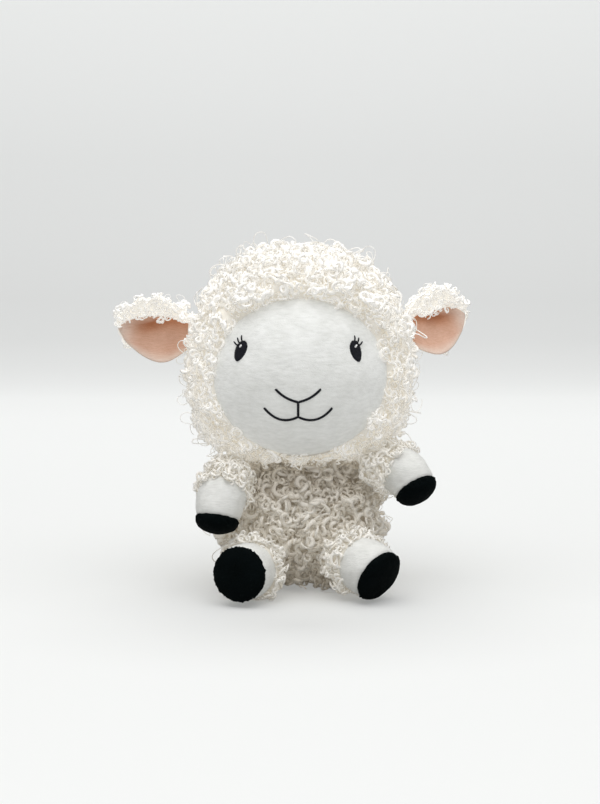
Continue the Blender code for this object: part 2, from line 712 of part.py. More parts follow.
def make_ear(side, root, pivot):
    name = SIDE_NAMES[side] + "_ear"
    first_share = EAR_OUTLINE_SHARES[0][0]
    leaf = ear_leaf(name + "_back", side, root, first_share, 1.0, 1.0, 0.0, 0.0, EAR_WALL)
    piece(name + "_fleece", join(leaf, ball(name + "_ball", root, EAR_BALL_RADIUS)), FLEECE, pivot)
    lining = ear_leaf(
        name + "_front",
        side,
        root,
        (EAR_BALL_RADIUS + SEAM_GAP) / EAR_LENGTH,
        EAR_LINING_STOP_SHARE,
        EAR_LINING_SHARE,
        EAR_LINING_DROP_SHARE,
        EAR_LINING_PROUD,
        EAR_LINING_WALL,
    )
    piece(name + "_lining", lining, PINK, pivot)


def head_surface_x(level, back):
    """Half the width of the head at a level above its widest, and behind its middle."""
    share = 1 - (level / HEAD_CROWN) ** HEAD_ROUNDNESS - (back / (HEAD_DEPTH / 2)) ** HEAD_ROUNDNESS
    return HEAD_WIDTH / 2 * share ** (1 / HEAD_ROUNDNESS)


def body_half_width(height):
    outline = [(level, radius) for radius, level in smooth(BODY_OUTLINE_SHARES, 2)]
    return share_at(outline, height / BODY_HEIGHT) * BODY_HALF_WIDTH


def make_tail(root, pivot):
    """A stub of folded fleece that points back and a little up."""
    way = -direction(LEFT, 0.0, -TAIL_PITCH)
    rings = [
        (root + way * TAIL_LENGTH * along, way, share * TAIL_RADIUS)
        for along, share in smooth(TAIL_OUTLINE_SHARES, 1)
    ]
    piece("tail", join(rod("tail_form", rings), ball("tail_ball", root, TAIL_BALL_RADIUS)), FLEECE, pivot)


clear_scene()
SHEEP = collection("plush_sheep")
CUTTERS = collection("cutters")
SEAT = pivot_at("seat", Vector((0, 0, 0)))
NECK_PIVOT = pivot_at("neck_turn_pivot", NECK, SEAT)
HEAD_PIVOT = pivot_at("head_nod_pivot", NECK, NECK_PIVOT)

body_sockets = []
for limb_side in (RIGHT, LEFT):
    shoulder = Vector(
        (
            limb_side * SHOULDER_SPREAD_SHARE * BODY_HALF_WIDTH,
            -SHOULDER_FORWARD_SHARE * BODY_DEPTH / 2,
            SHOULDER_HEIGHT_SHARE * BODY_HEIGHT,
        )
    )
    hip = Vector(
        (
            limb_side * HIP_SPREAD_SHARE * BODY_HALF_WIDTH,
            -HIP_FORWARD_SHARE * BODY_DEPTH / 2,
            LEG_RADIUS + FOOT_CLEARANCE,
        )
    )
    side_name = SIDE_NAMES[limb_side]
    arm = Limb(
        side_name + "_arm",
        limb_side,
        shoulder,
        ARM_LENGTH,
        ARM_RADIUS,
        ARM_OUTLINE_SHARES,
        ARM_POSES[limb_side],
        HOOF_BULGE_SHARE,
    )
    leg = Limb(
        side_name + "_leg",
        limb_side,
        hip,
        LEG_LENGTH,
        LEG_RADIUS,
        LEG_OUTLINE_SHARES,
        LEG_POSES[limb_side],
        SOLE_BULGE_SHARE,
    )
    shoulder_pivot = pivot_at(side_name + "_shoulder_pivot", shoulder, SEAT)
    hip_pivot = pivot_at(side_name + "_hip_pivot", hip, SEAT)
    make_limb(arm, ARM_CUFF_LENGTH, "cuff", "hoof", SHOULDER_RADIUS, shoulder_pivot)
    make_limb(leg, FOOT_LENGTH, "foot", "sole", HIP_RADIUS, hip_pivot)
    body_sockets.append(ball(side_name + "_shoulder_socket", shoulder, SHOULDER_RADIUS + SWING_GAP))
    body_sockets.append(ball(side_name + "_hip_socket", hip, HIP_RADIUS + SWING_GAP))

tail_root = Vector((0, body_half_width(TAIL_HEIGHT) * BODY_DEPTH_SHARE - TAIL_INSET, TAIL_HEIGHT))
make_tail(tail_root, pivot_at("tail_pivot", tail_root, SEAT))
body_sockets.append(ball("tail_socket", tail_root, TAIL_BALL_RADIUS + SWING_GAP))
make_body(body_sockets)

head_sockets = []
for ear_side in (RIGHT, LEFT):
    ear_root = HEAD + Vector((ear_side * (head_surface_x(EAR_RISE, EAR_BACK) - EAR_INSET), EAR_BACK, EAR_RISE))
    make_ear(ear_side, ear_root, pivot_at(SIDE_NAMES[ear_side] + "_ear_pivot", ear_root, HEAD_PIVOT))
    make_eye(ear_side)
    head_sockets.append(ball(SIDE_NAMES[ear_side] + "_ear_socket", ear_root, EAR_BALL_RADIUS + SWING_GAP))
make_head(head_sockets)
make_nose_and_mouth()
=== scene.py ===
"""The look of a seated plush sheep: padded fleece covers with curls, short plush, stitched face, light and floor."""
import math
import random

import bmesh
import bpy
import numpy as np
from mathutils import Matrix, Vector, noise


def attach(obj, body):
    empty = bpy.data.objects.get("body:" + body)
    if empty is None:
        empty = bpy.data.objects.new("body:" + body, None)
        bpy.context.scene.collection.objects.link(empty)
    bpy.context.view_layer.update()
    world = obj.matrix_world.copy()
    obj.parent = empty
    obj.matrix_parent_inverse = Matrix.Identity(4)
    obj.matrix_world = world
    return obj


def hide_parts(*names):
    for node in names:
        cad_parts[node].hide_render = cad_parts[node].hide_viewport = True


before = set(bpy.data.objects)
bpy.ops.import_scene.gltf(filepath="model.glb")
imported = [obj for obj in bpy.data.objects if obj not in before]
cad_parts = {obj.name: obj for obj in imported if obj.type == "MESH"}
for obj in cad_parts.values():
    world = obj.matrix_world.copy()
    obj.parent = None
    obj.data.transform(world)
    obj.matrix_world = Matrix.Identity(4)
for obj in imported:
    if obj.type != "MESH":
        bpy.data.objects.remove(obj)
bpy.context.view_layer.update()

MM = .001
RIGHT, LEFT = -1, 1
SIDE_NAMES = {RIGHT: "right", LEFT: "left"}

# Sizes repeated from the model, in millimetres and degrees
HEAD = (0.0, -3.0, 121.0)
HEAD_RADII = (62.0, 55.0, 72.0, 50.5)
HEAD_ROUNDNESS = 2.3
FACE = (0.0, -8.5, 123.7)
FACE_HALF = (49.0, 44.5)
FACE_BULGE, FACE_DEPTH = 22.0, 50.0
STITCH_SHIFT, EYE_SPREAD, EYE_RISE, EYE_LENGTH, EYE_WIDTH, EYE_TILT = -1.0, 63.4, 15.3, 11.8, 6.3, 20.0
LASHES = [((.08, .22), (.31, .41)), ((0, .3), (.15, .6)), ((-.1, .38), (-.05, .7))]
GLINT_RISE = 2.7
NOSE_DROP, NOSE_HALF, NOSE_RISE, LIP = 11.9, 12.5, 7.3, 8.4
SMILE_HALF, SMILE_RISE, SMILE_DIP = 18.8, 5.0, 5.6
LINE_WIDTH, LINE_PITCH, EYE_PITCH = 1.45, .4, .36  # satin stitches
BODY_WIDTH, BODY_DEPTH, BODY_HEIGHT = 92.0, 80.0, 73.0
TUFT_SPACING, TUFT_DEPTH, TUFT_FADE = 18.0, 1.8, 12.0
BODY_OUTLINE = [
    (.64, 0), (.81, .055), (.91, .17), (.97, .34), (1, .53), (.96, .7), (.86, .84), (.66, .94), (.38, .985)
]
SHOULDER = (37.72, -16.8, 63.51)
HIP = (23.46, -29.8, 17.8)
ARM = dict(
    length=46.0, radius=14.2, cover=18.0, bulge=.55, flap=.03, puff=-.8,
    outline=[(0, .74), (.15, .77), (.3, .87), (.5, .96), (.7, 1), (.88, .97), (1, .84)],
    poses={RIGHT: ((13, 9), (22, -69)), LEFT: ((72, 40), (44, -50))},
)
LEG = dict(
    length=37.0, radius=16.8, cover=21.0, bulge=.3, flap=.19, puff=-1.2,
    outline=[(0, .75), (.18, .76), (.36, .92), (.58, .98), (.76, 1), (.9, .97), (1, .89)],
    poses={RIGHT: ((9, -3), (20, 4)), LEFT: ((23.5, 20), (47, -26))},
)
EAR_ROOT = (58.537, 0.0, 146.0)
EAR_LENGTH, EAR_WIDTH, EAR_WALL, EAR_CUP = 47.0, 38.0, 5.5, 7.0
EAR_OUTLINE = [(.1, .5), (.22, .74), (.36, .93), (.52, 1), (.7, .93), (.85, .7), (.95, .42), (1, .2)]
EAR_POSES = {RIGHT: (3, 4, 8), LEFT: (12, 32, 0)}
TAIL_ROOT = (0.0, 36.359, 22.0)
TAIL_LENGTH, TAIL_RADIUS, TAIL_PITCH = 20.0, 9.5, 8.0
TAIL_OUTLINE = [(0, .6), (.25, .67), (.5, .95), (.72, 1), (.9, .78), (1, .42)]


# ---- small tools
def smooth_table(table, steps=6):
    """A Catmull-Rom curve through a table of pairs."""
    rows = [np.array(p, float) for p in table]
    rows = [2 * rows[0] - rows[1], *rows, 2 * rows[-1] - rows[-2]]
    curve = []
    for a, b, c, d in zip(rows, rows[1:], rows[2:], rows[3:]):
        for step in range(steps):
            t = step / steps
            curve.append(
                b * (2 * t**3 - 3 * t**2 + 1) + (c - a) / 2 * (t**3 - 2 * t**2 + t)
                + c * (3 * t**2 - 2 * t**3) + (d - b) / 2 * (t**3 - t**2)
            )
    return np.array([*curve, rows[-2]])


def read_table(curve, where):
    return np.interp(where, curve[:, 0], curve[:, 1])


def ease(low, high, value):
    t = np.clip((value - low) / (high - low), 0, 1)
    return t * t * (3 - 2 * t)


def ripple(points, scale, seed, depth=3):
    """Smooth noise, about -1 to 1, at points in millimetres."""
    shift = Vector((seed * 7.3, seed * 3.1, seed * 5.7))
    return np.array([noise.fractal(Vector(p) / scale + shift, 1.0, 2.0, depth) for p in points])


def make_mesh(name, points, faces, shares=None, closed=True):
    """A mesh object from points in millimetres, with named values per point."""
    mesh = bpy.data.meshes.new(name)
    mesh.from_pydata([tuple(p) for p in np.asarray(points, float) * MM], [], faces)
    mesh.validate()
    for key, values in (shares or {}).items():
        mesh.attributes.new(key, "FLOAT", "POINT").data.foreach_set("value", np.asarray(values, np.float32))
    mesh.shade_smooth()
    obj = bpy.data.objects.new(name, mesh)
    bpy.context.scene.collection.objects.link(obj)
    if closed:
        cage = bmesh.new()
        cage.from_mesh(mesh)
        bmesh.ops.recalc_face_normals(cage, faces=cage.faces)
        cage.to_mesh(mesh)
        cage.free()
    return obj


def wrap(rows, count, start=0):
    """Quads between rows of points, each row closed on itself."""
    lows = [start + row * count for row in range(rows - 1)]
    steps = [(i, (i + 1) % count) for i in range(count)]
    return [(low + i, low + j, low + count + j, low + count + i) for low in lows for i, j in steps]


def caps(rows, count, start=0):
    """One face over each end of such rows."""
    last = start + (rows - 1) * count
    return [tuple(range(start + count - 1, start - 1, -1)), tuple(range(last, last + count))]


def loft(rings):
    """Quads through rings of points, both ends closed at their middle; returns points and faces."""
    rings = [np.asarray(r, float) for r in rings]
    rows, count = len(rings), len(rings[0])
    points = np.vstack([*rings, rings[0].mean(0)[None], rings[-1].mean(0)[None]])
    faces = wrap(rows, count)
    first, last, top = rows * count, rows * count + 1, (rows - 1) * count
    for i in range(count):
        j = (i + 1) % count
        faces += [(first, j, i), (last, top + i, top + j)]
    return points, faces


def points_of(obj):
    flat = np.zeros(len(obj.data.vertices) * 3, np.float32)
    obj.data.vertices.foreach_get("co", flat)
    return flat.reshape(-1, 3).astype(float) / MM


def set_points(obj, points):
    obj.data.vertices.foreach_set("co", (np.asarray(points) * MM).astype(np.float32).ravel())
    obj.data.update()


def direction(side, yaw, pitch):
    yaw, pitch = math.radians(yaw), math.radians(pitch)
    return np.array((side * math.sin(yaw) * math.cos(pitch), -math.cos(yaw) * math.cos(pitch), math.sin(pitch)))


def frame_of(way):
    """Two directions square to a way, the first one level."""
    across = np.cross(way, (0, 0, 1))
    across /= np.linalg.norm(across)
    return across, np.cross(across, way)


def turns(count):
    """Angles evenly round a circle."""
    return np.linspace(0, 2 * math.pi, count, endpoint=False)


def ring(centre, across, up, radius, count):
    return [centre + (across * math.cos(a) + up * math.sin(a)) * radius for a in turns(count)]


# ---- materials
class Tree:
    """Short forms for building a node tree."""

    def __init__(self, tree):
        self.tree = tree

    def add(self, kind, **values):
        node = self.tree.nodes.new(kind)
        for key, value in values.items():
            setattr(node, key, value)
        return node

    def link(self, source, target):
        self.tree.links.new(source, target)

    def feed(self, target, value):
        """Gives a socket a number, a name or a colour, or links it to another socket."""
        if isinstance(value, (int, float, str)):
            target.default_value = value
        elif isinstance(value, tuple):
            target.default_value = (*value, 1)
        else:
            self.link(value, target)

    def fill(self, node, **values):
        for key, value in values.items():
            self.feed(node.inputs[key.replace("_", " ")], value)
        return node

    def math(self, kind, a, b=0.0, clamp=False):
        node = self.add("ShaderNodeMath", operation=kind, use_clamp=clamp)
        for target, value in zip(node.inputs, (a, b)):
            self.feed(target, value)
        return node.outputs[0]

    def vector(self, *values):
        node = self.add("ShaderNodeCombineXYZ")
        for target, value in zip(node.inputs, values):
            self.feed(target, value)
        return node.outputs[0]

    def parts(self, vector):
        return self.fill(self.add("ShaderNodeSeparateXYZ"), Vector=vector).outputs

    def length(self, vector):
        node = self.add("ShaderNodeVectorMath", operation="LENGTH")
        self.link(vector, node.inputs[0])
        return node.outputs["Value"]


class Nodes(Tree):
    """Short forms for building one material's nodes."""

    def __init__(self, name):
        self.material = bpy.data.materials.new(name)
        self.material.use_nodes = True
        super().__init__(self.material.node_tree)
        self.shader = self.tree.nodes["Principled BSDF"]
        self.place = self.add("ShaderNodeTexCoord").outputs["Object"]

    def set(self, **values):
        self.fill(self.shader, **values)

    def share(self, name):
        return self.add("ShaderNodeAttribute", attribute_name=name).outputs["Fac"]

    def mapped(self, scale, shift=(0.0, 0.0, 0.0)):
        node = self.add("ShaderNodeMapping")
        node.inputs["Location"].default_value, node.inputs["Scale"].default_value = shift, scale
        self.link(self.place, node.inputs["Vector"])
        return node.outputs["Vector"]

    def noise(self, scale, detail=3.0, rough=.5, vector=None):
        node = self.add("ShaderNodeTexNoise")
        self.fill(node, Scale=scale, Detail=detail, Roughness=rough, Vector=vector or self.place)
        return node.outputs["Fac"]

    def ramp(self, value, *stops):
        node = self.add("ShaderNodeValToRGB")
        marks = node.color_ramp.elements
        ends = (marks[0], marks[1])
        for mark, (where, colour) in zip(ends, (stops[0], stops[-1])):
            mark.position, mark.color = where, (*colour, 1)
        for where, colour in stops[1:-1]:
            marks.new(where).color = (*colour, 1)
        self.link(value, node.inputs["Fac"])
        return node.outputs["Color"]

    def mix(self, share, a, b, kind="MIX"):
        node = self.add("ShaderNodeMix", data_type="RGBA", blend_type=kind)
        colours = [s for s in node.inputs if s.type == "RGBA"]
        for target, value in zip((node.inputs["Factor"], *colours), (share, a, b)):
            self.feed(target, value)
        return next(s for s in node.outputs if s.type == "RGBA")

    def tinted(self, colour, share, tint):
        """A colour that is multiplied by a tint where the share is 1."""
        return self.mix(share, colour, self.mix(1.0, colour, tint, "MULTIPLY"))

    def bump(self, height, strength, distance):
        node = self.fill(self.add("ShaderNodeBump"), Strength=strength, Distance=distance, Height=height)
        self.set(Normal=node.outputs["Normal"])


# painted shade darkens the body's fleece above the chin height and below the leg height; painted light makes it paler
# behind the back depth
CHIN_SHADE, LEG_SHADE = .046, .028  # the body's fleece lies in shade above the first height and below the second
BACK_START = -.02  # and in the open behind this depth; all three in metres
SHADE_EDGE, BACK_EDGE = 60.0, 22.0  # how sharply those begin


def fleece_material(name, deep, middle, tip, through, shaded=None):
    """Looped fleece: tan and darkened by painted shade at the backing, pale and silky at the top of each curl, with a
    painted glow.
    """
    n = Nodes(name)
    rise, across, tint, along = (n.share(key) for key in ("rise", "across", "tint", "along"))
    # painted shade: each curl darkens from its pale top down to the tan backing at its root
    base = n.ramp(rise, (0.0, deep), (.45, middle), (1.0, tip))
    if shaded:
        # painted shade darkens the body's front where the chin and the legs shade it, and painted light makes its
        # back, which lies in the open, paler
        _, depth, height = n.parts(n.place)
        behind = n.math("MULTIPLY", n.math("ADD", depth, -BACK_START), BACK_EDGE, True)
        under = n.math("MULTIPLY", n.math("ADD", height, -CHIN_SHADE), SHADE_EDGE, True)
        between = n.math("MULTIPLY", n.math("SUBTRACT", LEG_SHADE, height), SHADE_EDGE, True)
        base = n.tinted(base, n.math("MAXIMUM", under, between), shaded)
        base = n.mix(behind, base, n.ramp(rise, (0.0, (.86, .83, .77)), (1.0, (.96, .945, .915))))
    # painted shade: the fleece is darkened in the hollows between the tufts
    base = n.tinted(base, n.math("MULTIPLY", n.share("hollow"), .6), (.91, .89, .85))
    # fine fibres lie along each lock, and each lock gets a painted highlight at its rounded edges
    strands = n.vector(n.math("MULTIPLY", across, 3.2), n.math("MULTIPLY", along, 2.0), n.math("MULTIPLY", tint, 40.0))
    fibre = n.noise(1.6, 3.0, .6, strands)
    edge = n.math("POWER", n.math("ABSOLUTE", across), 3.0)
    light = n.math("ADD", n.math("MULTIPLY", fibre, .45), n.math("MULTIPLY", edge, .3))
    light = n.math("ADD", light, n.math("MULTIPLY", tint, .15))
    shade = n.ramp(light, (.05, (.9, .88, .85)), (.55, (1.0, 1.0, 1.0)))
    n.set(Base_Color=n.mix(1.0, base, shade, "MULTIPLY"), Roughness=.46, Sheen_Weight=.35, Sheen_Roughness=.4)
    # painted glow: the fleece emits its own colour, a little warmed, by the share given as through
    inner = n.mix(1.0, base, (1.0, .96, .88), "MULTIPLY")
    # painted light: the glow is doubled on the body's back
    if shaded:
        inner = n.tinted(inner, behind, (2.0, 2.0, 2.0))
    n.set(Specular_IOR_Level=.42, Emission_Color=inner, Emission_Strength=through)
    return n.material


def short_plush(name, low, high, stretch, sheen=.5, depth=.0004, mottle=90, fold=None, edge=None, through=0.0):
    """Short cut pile: a fine nap that lies one way, and soft mottling where it is brushed."""
    n = Nodes(name)
    nap = n.noise(1.0, 4.0, .6, n.mapped(stretch))
    cloud = n.noise(mottle, 3.0, .55)
    share = n.math("ADD", n.math("MULTIPLY", nap, .6), n.math("MULTIPLY", cloud, .5))
    colour = n.ramp(share, (.32, low), (.72, high))
    # painted light: the colour is paled towards the edge colour where the edge share is high
    if edge:
        colour = n.mix(n.math("MULTIPLY", n.share("edge"), n.math("ADD", nap, .2), True), colour, edge)
    # painted shade: the colour is darkened by the fold share, in creases and seams
    if fold:
        colour = n.tinted(colour, n.share("fold"), fold)
    n.bump(n.math("ADD", nap, n.math("MULTIPLY", n.noise(2600, 2.0), .6)), .55, depth)
    n.set(Roughness=.85, Sheen_Weight=sheen, Sheen_Roughness=.35, Specular_IOR_Level=.2)
    # painted glow: the plush emits its palest colour by the share given as through
    n.set(Base_Color=colour, Emission_Color=high, Emission_Strength=through)
    return n.material


def thread_material(name, low, high):
    n = Nodes(name)
    twist = n.noise(900, 3.0, .6)
    n.bump(n.noise(3200, 2.0), .4, .0001)
    n.set(Base_Color=n.ramp(twist, (.3, low), (.75, high)), Roughness=.5, Specular_IOR_Level=.22)
    return n.material


def hidden_fill(name, low, high, scale):
    n = Nodes(name)
    lumps = n.noise(scale, 5.0, .65)
    n.bump(lumps, .7, .001)
    n.set(Base_Color=n.ramp(lumps, (.3, low), (.7, high)), Roughness=.9)
    return n.material


# colours at a curl's root, middle and top, then the strength of a painted glow that stands in for light passing
# through the wool
FLEECE = fleece_material(
    "curly_fleece_cloth", (.87, .857, .82), (.93, .922, .902), (.957, .954, .943), .21
)
# a paler copy of the same fleece for the ears, with more glow: painted light
EAR_FLEECE = fleece_material(
    "ear_fleece_cloth", (.92, .915, .897), (.955, .953, .945), (.965, .965, .96), .27
)
# a darker copy of the same fleece for the body: painted shade where the head shades it, partly its deeper pile
SHADED_FLEECE = fleece_material(
    "deep_curly_fleece_cloth", (.62, .57, .49), (.77, .73, .66), (.89, .86, .8), .09, (.79, .77, .745)
)
# a darker copy of the same fleece for the arms and legs, with less glow: painted shade
SLEEVE_FLEECE = fleece_material(
    "sleeve_fleece_cloth", (.79, .76, .69), (.87, .85, .8), (.93, .915, .88), .12
)
# darkest and palest colour, then how closely the nap lies along x, y and z
WHITE = short_plush("white_short_plush", (.7, .7, .665), (.86, .86, .83), (260, 420, 1500))
# the face: painted shade along its seam, and a painted glow
FACE_PLUSH = short_plush(
    "face_short_plush", (.59, .595, .565), (.78, .785, .765), (190, 400, 620),
    depth=.0006, mottle=60, fold=(.62, .55, .44), through=.22,
)
# the ear's lining: painted shade in its crease, painted light along its lower rim and towards its tip
PINK = short_plush(
    "pink_short_plush", (.65, .355, .238), (.8, .505, .375), (300, 900, 1700),
    fold=(.8, .54, .36), edge=(.93, .78, .68),
)
BLACK = short_plush("black_short_plush", (.0004, .0012, .001), (.002, .004, .0045), (1200, 1200, 1200), 0.0)
BLACK.node_tree.nodes["Principled BSDF"].inputs["Specular IOR Level"].default_value = .04
THREAD = thread_material("black_stitching", (.0015, .002, .005), (.008, .009, .017))
GLINT = thread_material("white_stitching", (.8, .8, .8), (.93, .93, .93))
FILLING = hidden_fill("loose_filling", (.72, .72, .7), (.9, .9, .88), 160)
SACKING = hidden_fill("pellet_sacking", (.42, .38, .3), (.62, .57, .47), 420)

CARRIED = {
    "curly_fleece": FLEECE,
    "white_minky": WHITE,
    "black_plush": BLACK,
    "pink_minky": PINK,
    "black_thread": THREAD,
    "white_thread": GLINT,
    "polyester_stuffing": FILLING,
    "pellet_sack": SACKING,
}
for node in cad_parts.values():
    for place in node.material_slots:
        place.material = CARRIED[place.material.name]


# ---- curls
def ribbon(name, path, widths, thickness, lean, sides):
    """A flattened lock of wool along a path, closed at both ends, with its share values stored."""
    path = np.asarray(path, float)
    ways = np.gradient(path, axis=0)
    ways /= np.linalg.norm(ways, axis=1)[:, None]
    middle = path[:, :2].mean(0)
    points, rise, across, along = [], [], [], []
    low, high = path[:, 2].min(), path[:, 2].max()
    for i, (p, way) in enumerate(zip(path, ways)):
        out = np.array((*(p[:2] - middle), 0.0))
        out -= way * out.dot(way)
        out /= max(np.linalg.norm(out), 1e-6)
        up = np.cross(way, out)
        turn = lean[0] + (lean[1] - lean[0]) * i / (len(path) - 1)
        wide = out * math.cos(turn) + up * math.sin(turn)
        thin = np.cross(way, wide)
        for k in range(sides):
            a, b = math.cos(2 * math.pi * k / sides), math.sin(2 * math.pi * k / sides)
            points.append(p + wide * a * widths[i] / 2 + thin * b * thickness / 2)
            rise.append((p[2] - low) / (high - low + .01))
            across.append(a)
            along.append(i / (len(path) - 1))
    faces = wrap(len(path), sides) + caps(len(path), sides)
    return make_mesh(name, points, faces, {"rise": rise, "across": across, "along": along})


ROOT = 1.6  # how deep in the backing a lock begins, in millimetres


def curl_path(radius, sweep, spiral, height, fall, steps, lift=0.0, stretch=1.0):
    """A lock that comes up from the backing and turns round on itself; sizes in millimetres."""
    path = []
    for i in range(steps + 1):
        t = i / steps
        angle = math.radians(sweep) * t
        reach = radius * (1 - spiral * t)
        up = (height + ROOT) * float(ease(0, .3, t)) - fall * float(ease(.45, 1.0, t))
        path.append((reach * math.cos(angle) * stretch, reach * math.sin(angle), up - ROOT + lift * math.sin(angle)))
    return path


def make_curls(group, seed, steps, sides, recipes):
    """A few kinds of curl, kept out of sight as patterns for the covers."""
    store = bpy.data.collections.new(group)
    dice = random.Random(seed)
    for i, (radius, sweep, spiral, height, fall, width, thickness, lift) in enumerate(recipes):
        path = curl_path(radius, sweep, spiral, height, fall, steps, lift, dice.uniform(.85, 1.15))
        swell = [math.sin(math.pi * (.1 + .8 * k / steps)) ** .7 for k in range(steps + 1)]
        lean = (dice.uniform(-.2, .4), dice.uniform(.1, .8))
        obj = ribbon(f"{group}_{i}", path, [width * (.35 + .65 * s) for s in swell], thickness, lean, sides)
        bpy.context.scene.collection.objects.unlink(obj)
        store.objects.link(obj)
    return store


# radius, sweep in degrees, spiral share, height, fall, width, thickness, lift of one side
CURLS = make_curls("curl", 3, 12, 5, [
    (2.9, 310, .3, 2.2, .8, 2.4, 1.00, .3),
    (2.5, 360, .38, 2.6, 1.0, 2.1, 1.00, .4),
    (3.4, 260, .15, 2.2, 1.2, 2.6, 1.00, .4),
    (2.2, 400, .3, 2.5, .6, 2.0, .95, .3),
    (3.1, 225, .05, 2.6, 1.8, 2.3, 1.00, .6),
    (2.8, 330, .22, 2.0, .5, 2.5, 1.00, .5),
    (3.8, 200, .05, 2.3, 2.0, 2.3, 1.00, .3),
])
LONG_CURLS = make_curls("long_curl", 13, 12, 5, [
    (4.1, 320, .25, 2.9, .8, 2.5, 1.4, .4),
    (3.6, 360, .35, 3.2, 1.0, 2.3, 1.4, .5),
    (4.5, 270, .12, 2.9, 1.4, 2.6, 1.4, .4),
    (3.3, 335, .34, 3.1, .7, 2.2, 1.35, .6),
    (4.2, 250, .05, 3.1, 1.8, 2.4, 1.4, .6),
    (3.8, 340, .22, 2.7, .6, 2.5, 1.4, .5),
])
UNDERCOAT = make_curls("undercoat", 4, 9, 4, [
    (1.9, 320, .3, 1.3, .5, 2.0, .9, .2),
    (2.3, 240, .1, 1.4, .9, 2.2, .9, .2),
    (1.7, 380, .3, 1.6, .6, 1.8, .9, .3),
])
WISPS = make_curls("wisp", 5, 12, 3, [
    (2.4, 330, .1, 3.6, 2.6, .5, .4, 1.0),
    (2.9, 270, .05, 3.4, 3.0, .45, .4, 1.2),
    (1.9, 390, .25, 3.9, 1.6, .42, .36, .8),
])
MOST_KINDS = 20  # the pattern of each curl is drawn from this many, and wraps round the ones there are


def scatter_tree():
    """Covers a skin with curls: spaced points, each with a turned, leaned and scaled pattern."""
    group = bpy.data.node_groups.new("curls_on_a_cover", "GeometryNodeTree")
    tree = Tree(group)

    def socket(label, kind, out="INPUT"):
        return group.interface.new_socket(label, in_out=out, socket_type=f"NodeSocket{kind}").identifier

    kinds_of_input = dict(
        skin="Geometry", kinds="Collection", spacing="Float", density="Float", lean="Float", small="Float",
        large="Float", seed="Int", cloth="Material",
    )
    names = {key: socket(key.capitalize(), kind) for key, kind in kinds_of_input.items()}
    socket("Cover", "Geometry", "OUTPUT")
    source, sink = tree.add("NodeGroupInput"), tree.add("NodeGroupOutput")
    given = {key: next(s for s in source.outputs if s.identifier == name) for key, name in names.items()}

    def share(name):
        node = tree.add("GeometryNodeInputNamedAttribute", data_type="FLOAT")
        return tree.fill(node, Name=name).outputs["Attribute"]

    def of_kind(sockets, kind, label=""):
        """A node keeps one socket per kind of value under the same label."""
        return next(s for s in sockets if s.type == kind and label in s.name)

    def dice(place, low, high, kind="FLOAT"):
        """A random value per curl; its place among the draws is added to the seed."""
        node = tree.add("FunctionNodeRandomValue", data_type=kind)
        form = "INT" if kind == "INT" else "VALUE"
        tree.feed(of_kind(node.inputs, form, "Min"), low)
        tree.feed(of_kind(node.inputs, form, "Max"), high)
        tree.fill(node, Seed=tree.math("ADD", given["seed"], place))
        return of_kind(node.outputs, form)

    spread = tree.fill(
        tree.add("GeometryNodeDistributePointsOnFaces", distribute_method="POISSON"),
        Mesh=given["skin"], Distance_Min=given["spacing"], Density_Max=given["density"],
        Density_Factor=share("cover"), Seed=given["seed"],
    )
    kinds = tree.fill(
        tree.add("GeometryNodeCollectionInfo"), Separate_Children=True, Reset_Children=True, Collection=given["kinds"]
    )
    # each curl leans both ways and spins about its root
    lean = [dice(place, tree.math("MULTIPLY", given["lean"], -1.0), given["lean"]) for place in (1, 2)]
    turn = tree.add("FunctionNodeEulerToRotation")
    tree.link(tree.vector(*lean, dice(3, 0.0, 2 * math.pi)), turn.inputs[0])
    rotate = tree.add("FunctionNodeRotateRotation", rotation_space="LOCAL")
    tree.link(spread.outputs["Rotation"], rotate.inputs[0])
    tree.link(turn.outputs[0], rotate.inputs[1])
    plant = tree.fill(
        tree.add("GeometryNodeInstanceOnPoints"), Points=spread.outputs["Points"], Instance=kinds.outputs[0],
        Pick_Instance=True, Instance_Index=dice(5, 0, MOST_KINDS, "INT"), Rotation=rotate.outputs[0],
        Scale=tree.math("MULTIPLY", dice(4, given["small"], given["large"]), share("size")),
    )
    tint = tree.add("GeometryNodeStoreNamedAttribute", data_type="FLOAT", domain="INSTANCE")
    tree.fill(tint, Name="tint", Geometry=plant.outputs[0])
    tree.link(dice(6, 0.0, 1.0), of_kind(tint.inputs, "VALUE", "Value"))
    join = tree.add("GeometryNodeJoinGeometry")
    for part in (tint.outputs[0], given["skin"]):
        tree.link(part, join.inputs[0])
    real = tree.fill(tree.add("GeometryNodeRealizeInstances"), Geometry=join.outputs[0])
    finish = tree.fill(tree.add("GeometryNodeSetMaterial"), Geometry=real.outputs[0], Material=given["cloth"])
    tree.link(finish.outputs[0], sink.inputs[0])
    return group, names


SCATTER, SCATTER_NAMES = scatter_tree()


def grow(skin, passes, cloth):
    """Grows each pass of curls on the skin and leaves one plain mesh."""
    bare = skin.data
    for values in passes:
        modifier = skin.modifiers.new("curls", "NODES")
        modifier.node_group = SCATTER
        for key, value in {**values, "cloth": cloth}.items():
            modifier[SCATTER_NAMES[key]] = value
    skin.update_tag()
    bpy.context.view_layer.update()
    graph = bpy.context.evaluated_depsgraph_get()
    made = bpy.data.meshes.new_from_object(skin.evaluated_get(graph), preserve_all_data_layers=True, depsgraph=graph)
    skin.modifiers.clear()
    skin.data = made
    made.name = skin.name
    bpy.data.meshes.remove(bare)
    made.shade_smooth()
    return skin


def curls(spacing, seed, lean=.55, small=.85, large=1.2, kinds=CURLS):
    """One pass of curls, about a spacing in millimetres apart."""
    near = spacing * MM
    return dict(kinds=kinds, spacing=near, density=1.6 / near**2, lean=lean, small=small, large=large, seed=seed)


# ---- padded forms
FLEECE_SINK = 1.2  # how far the backing lies below the mean surface of the curls
BEHIND_FACE = 4.5  # how far the head's backing passes behind the face
ROLL = .85  # share of the way that the fleece rolls down to the seam round the face


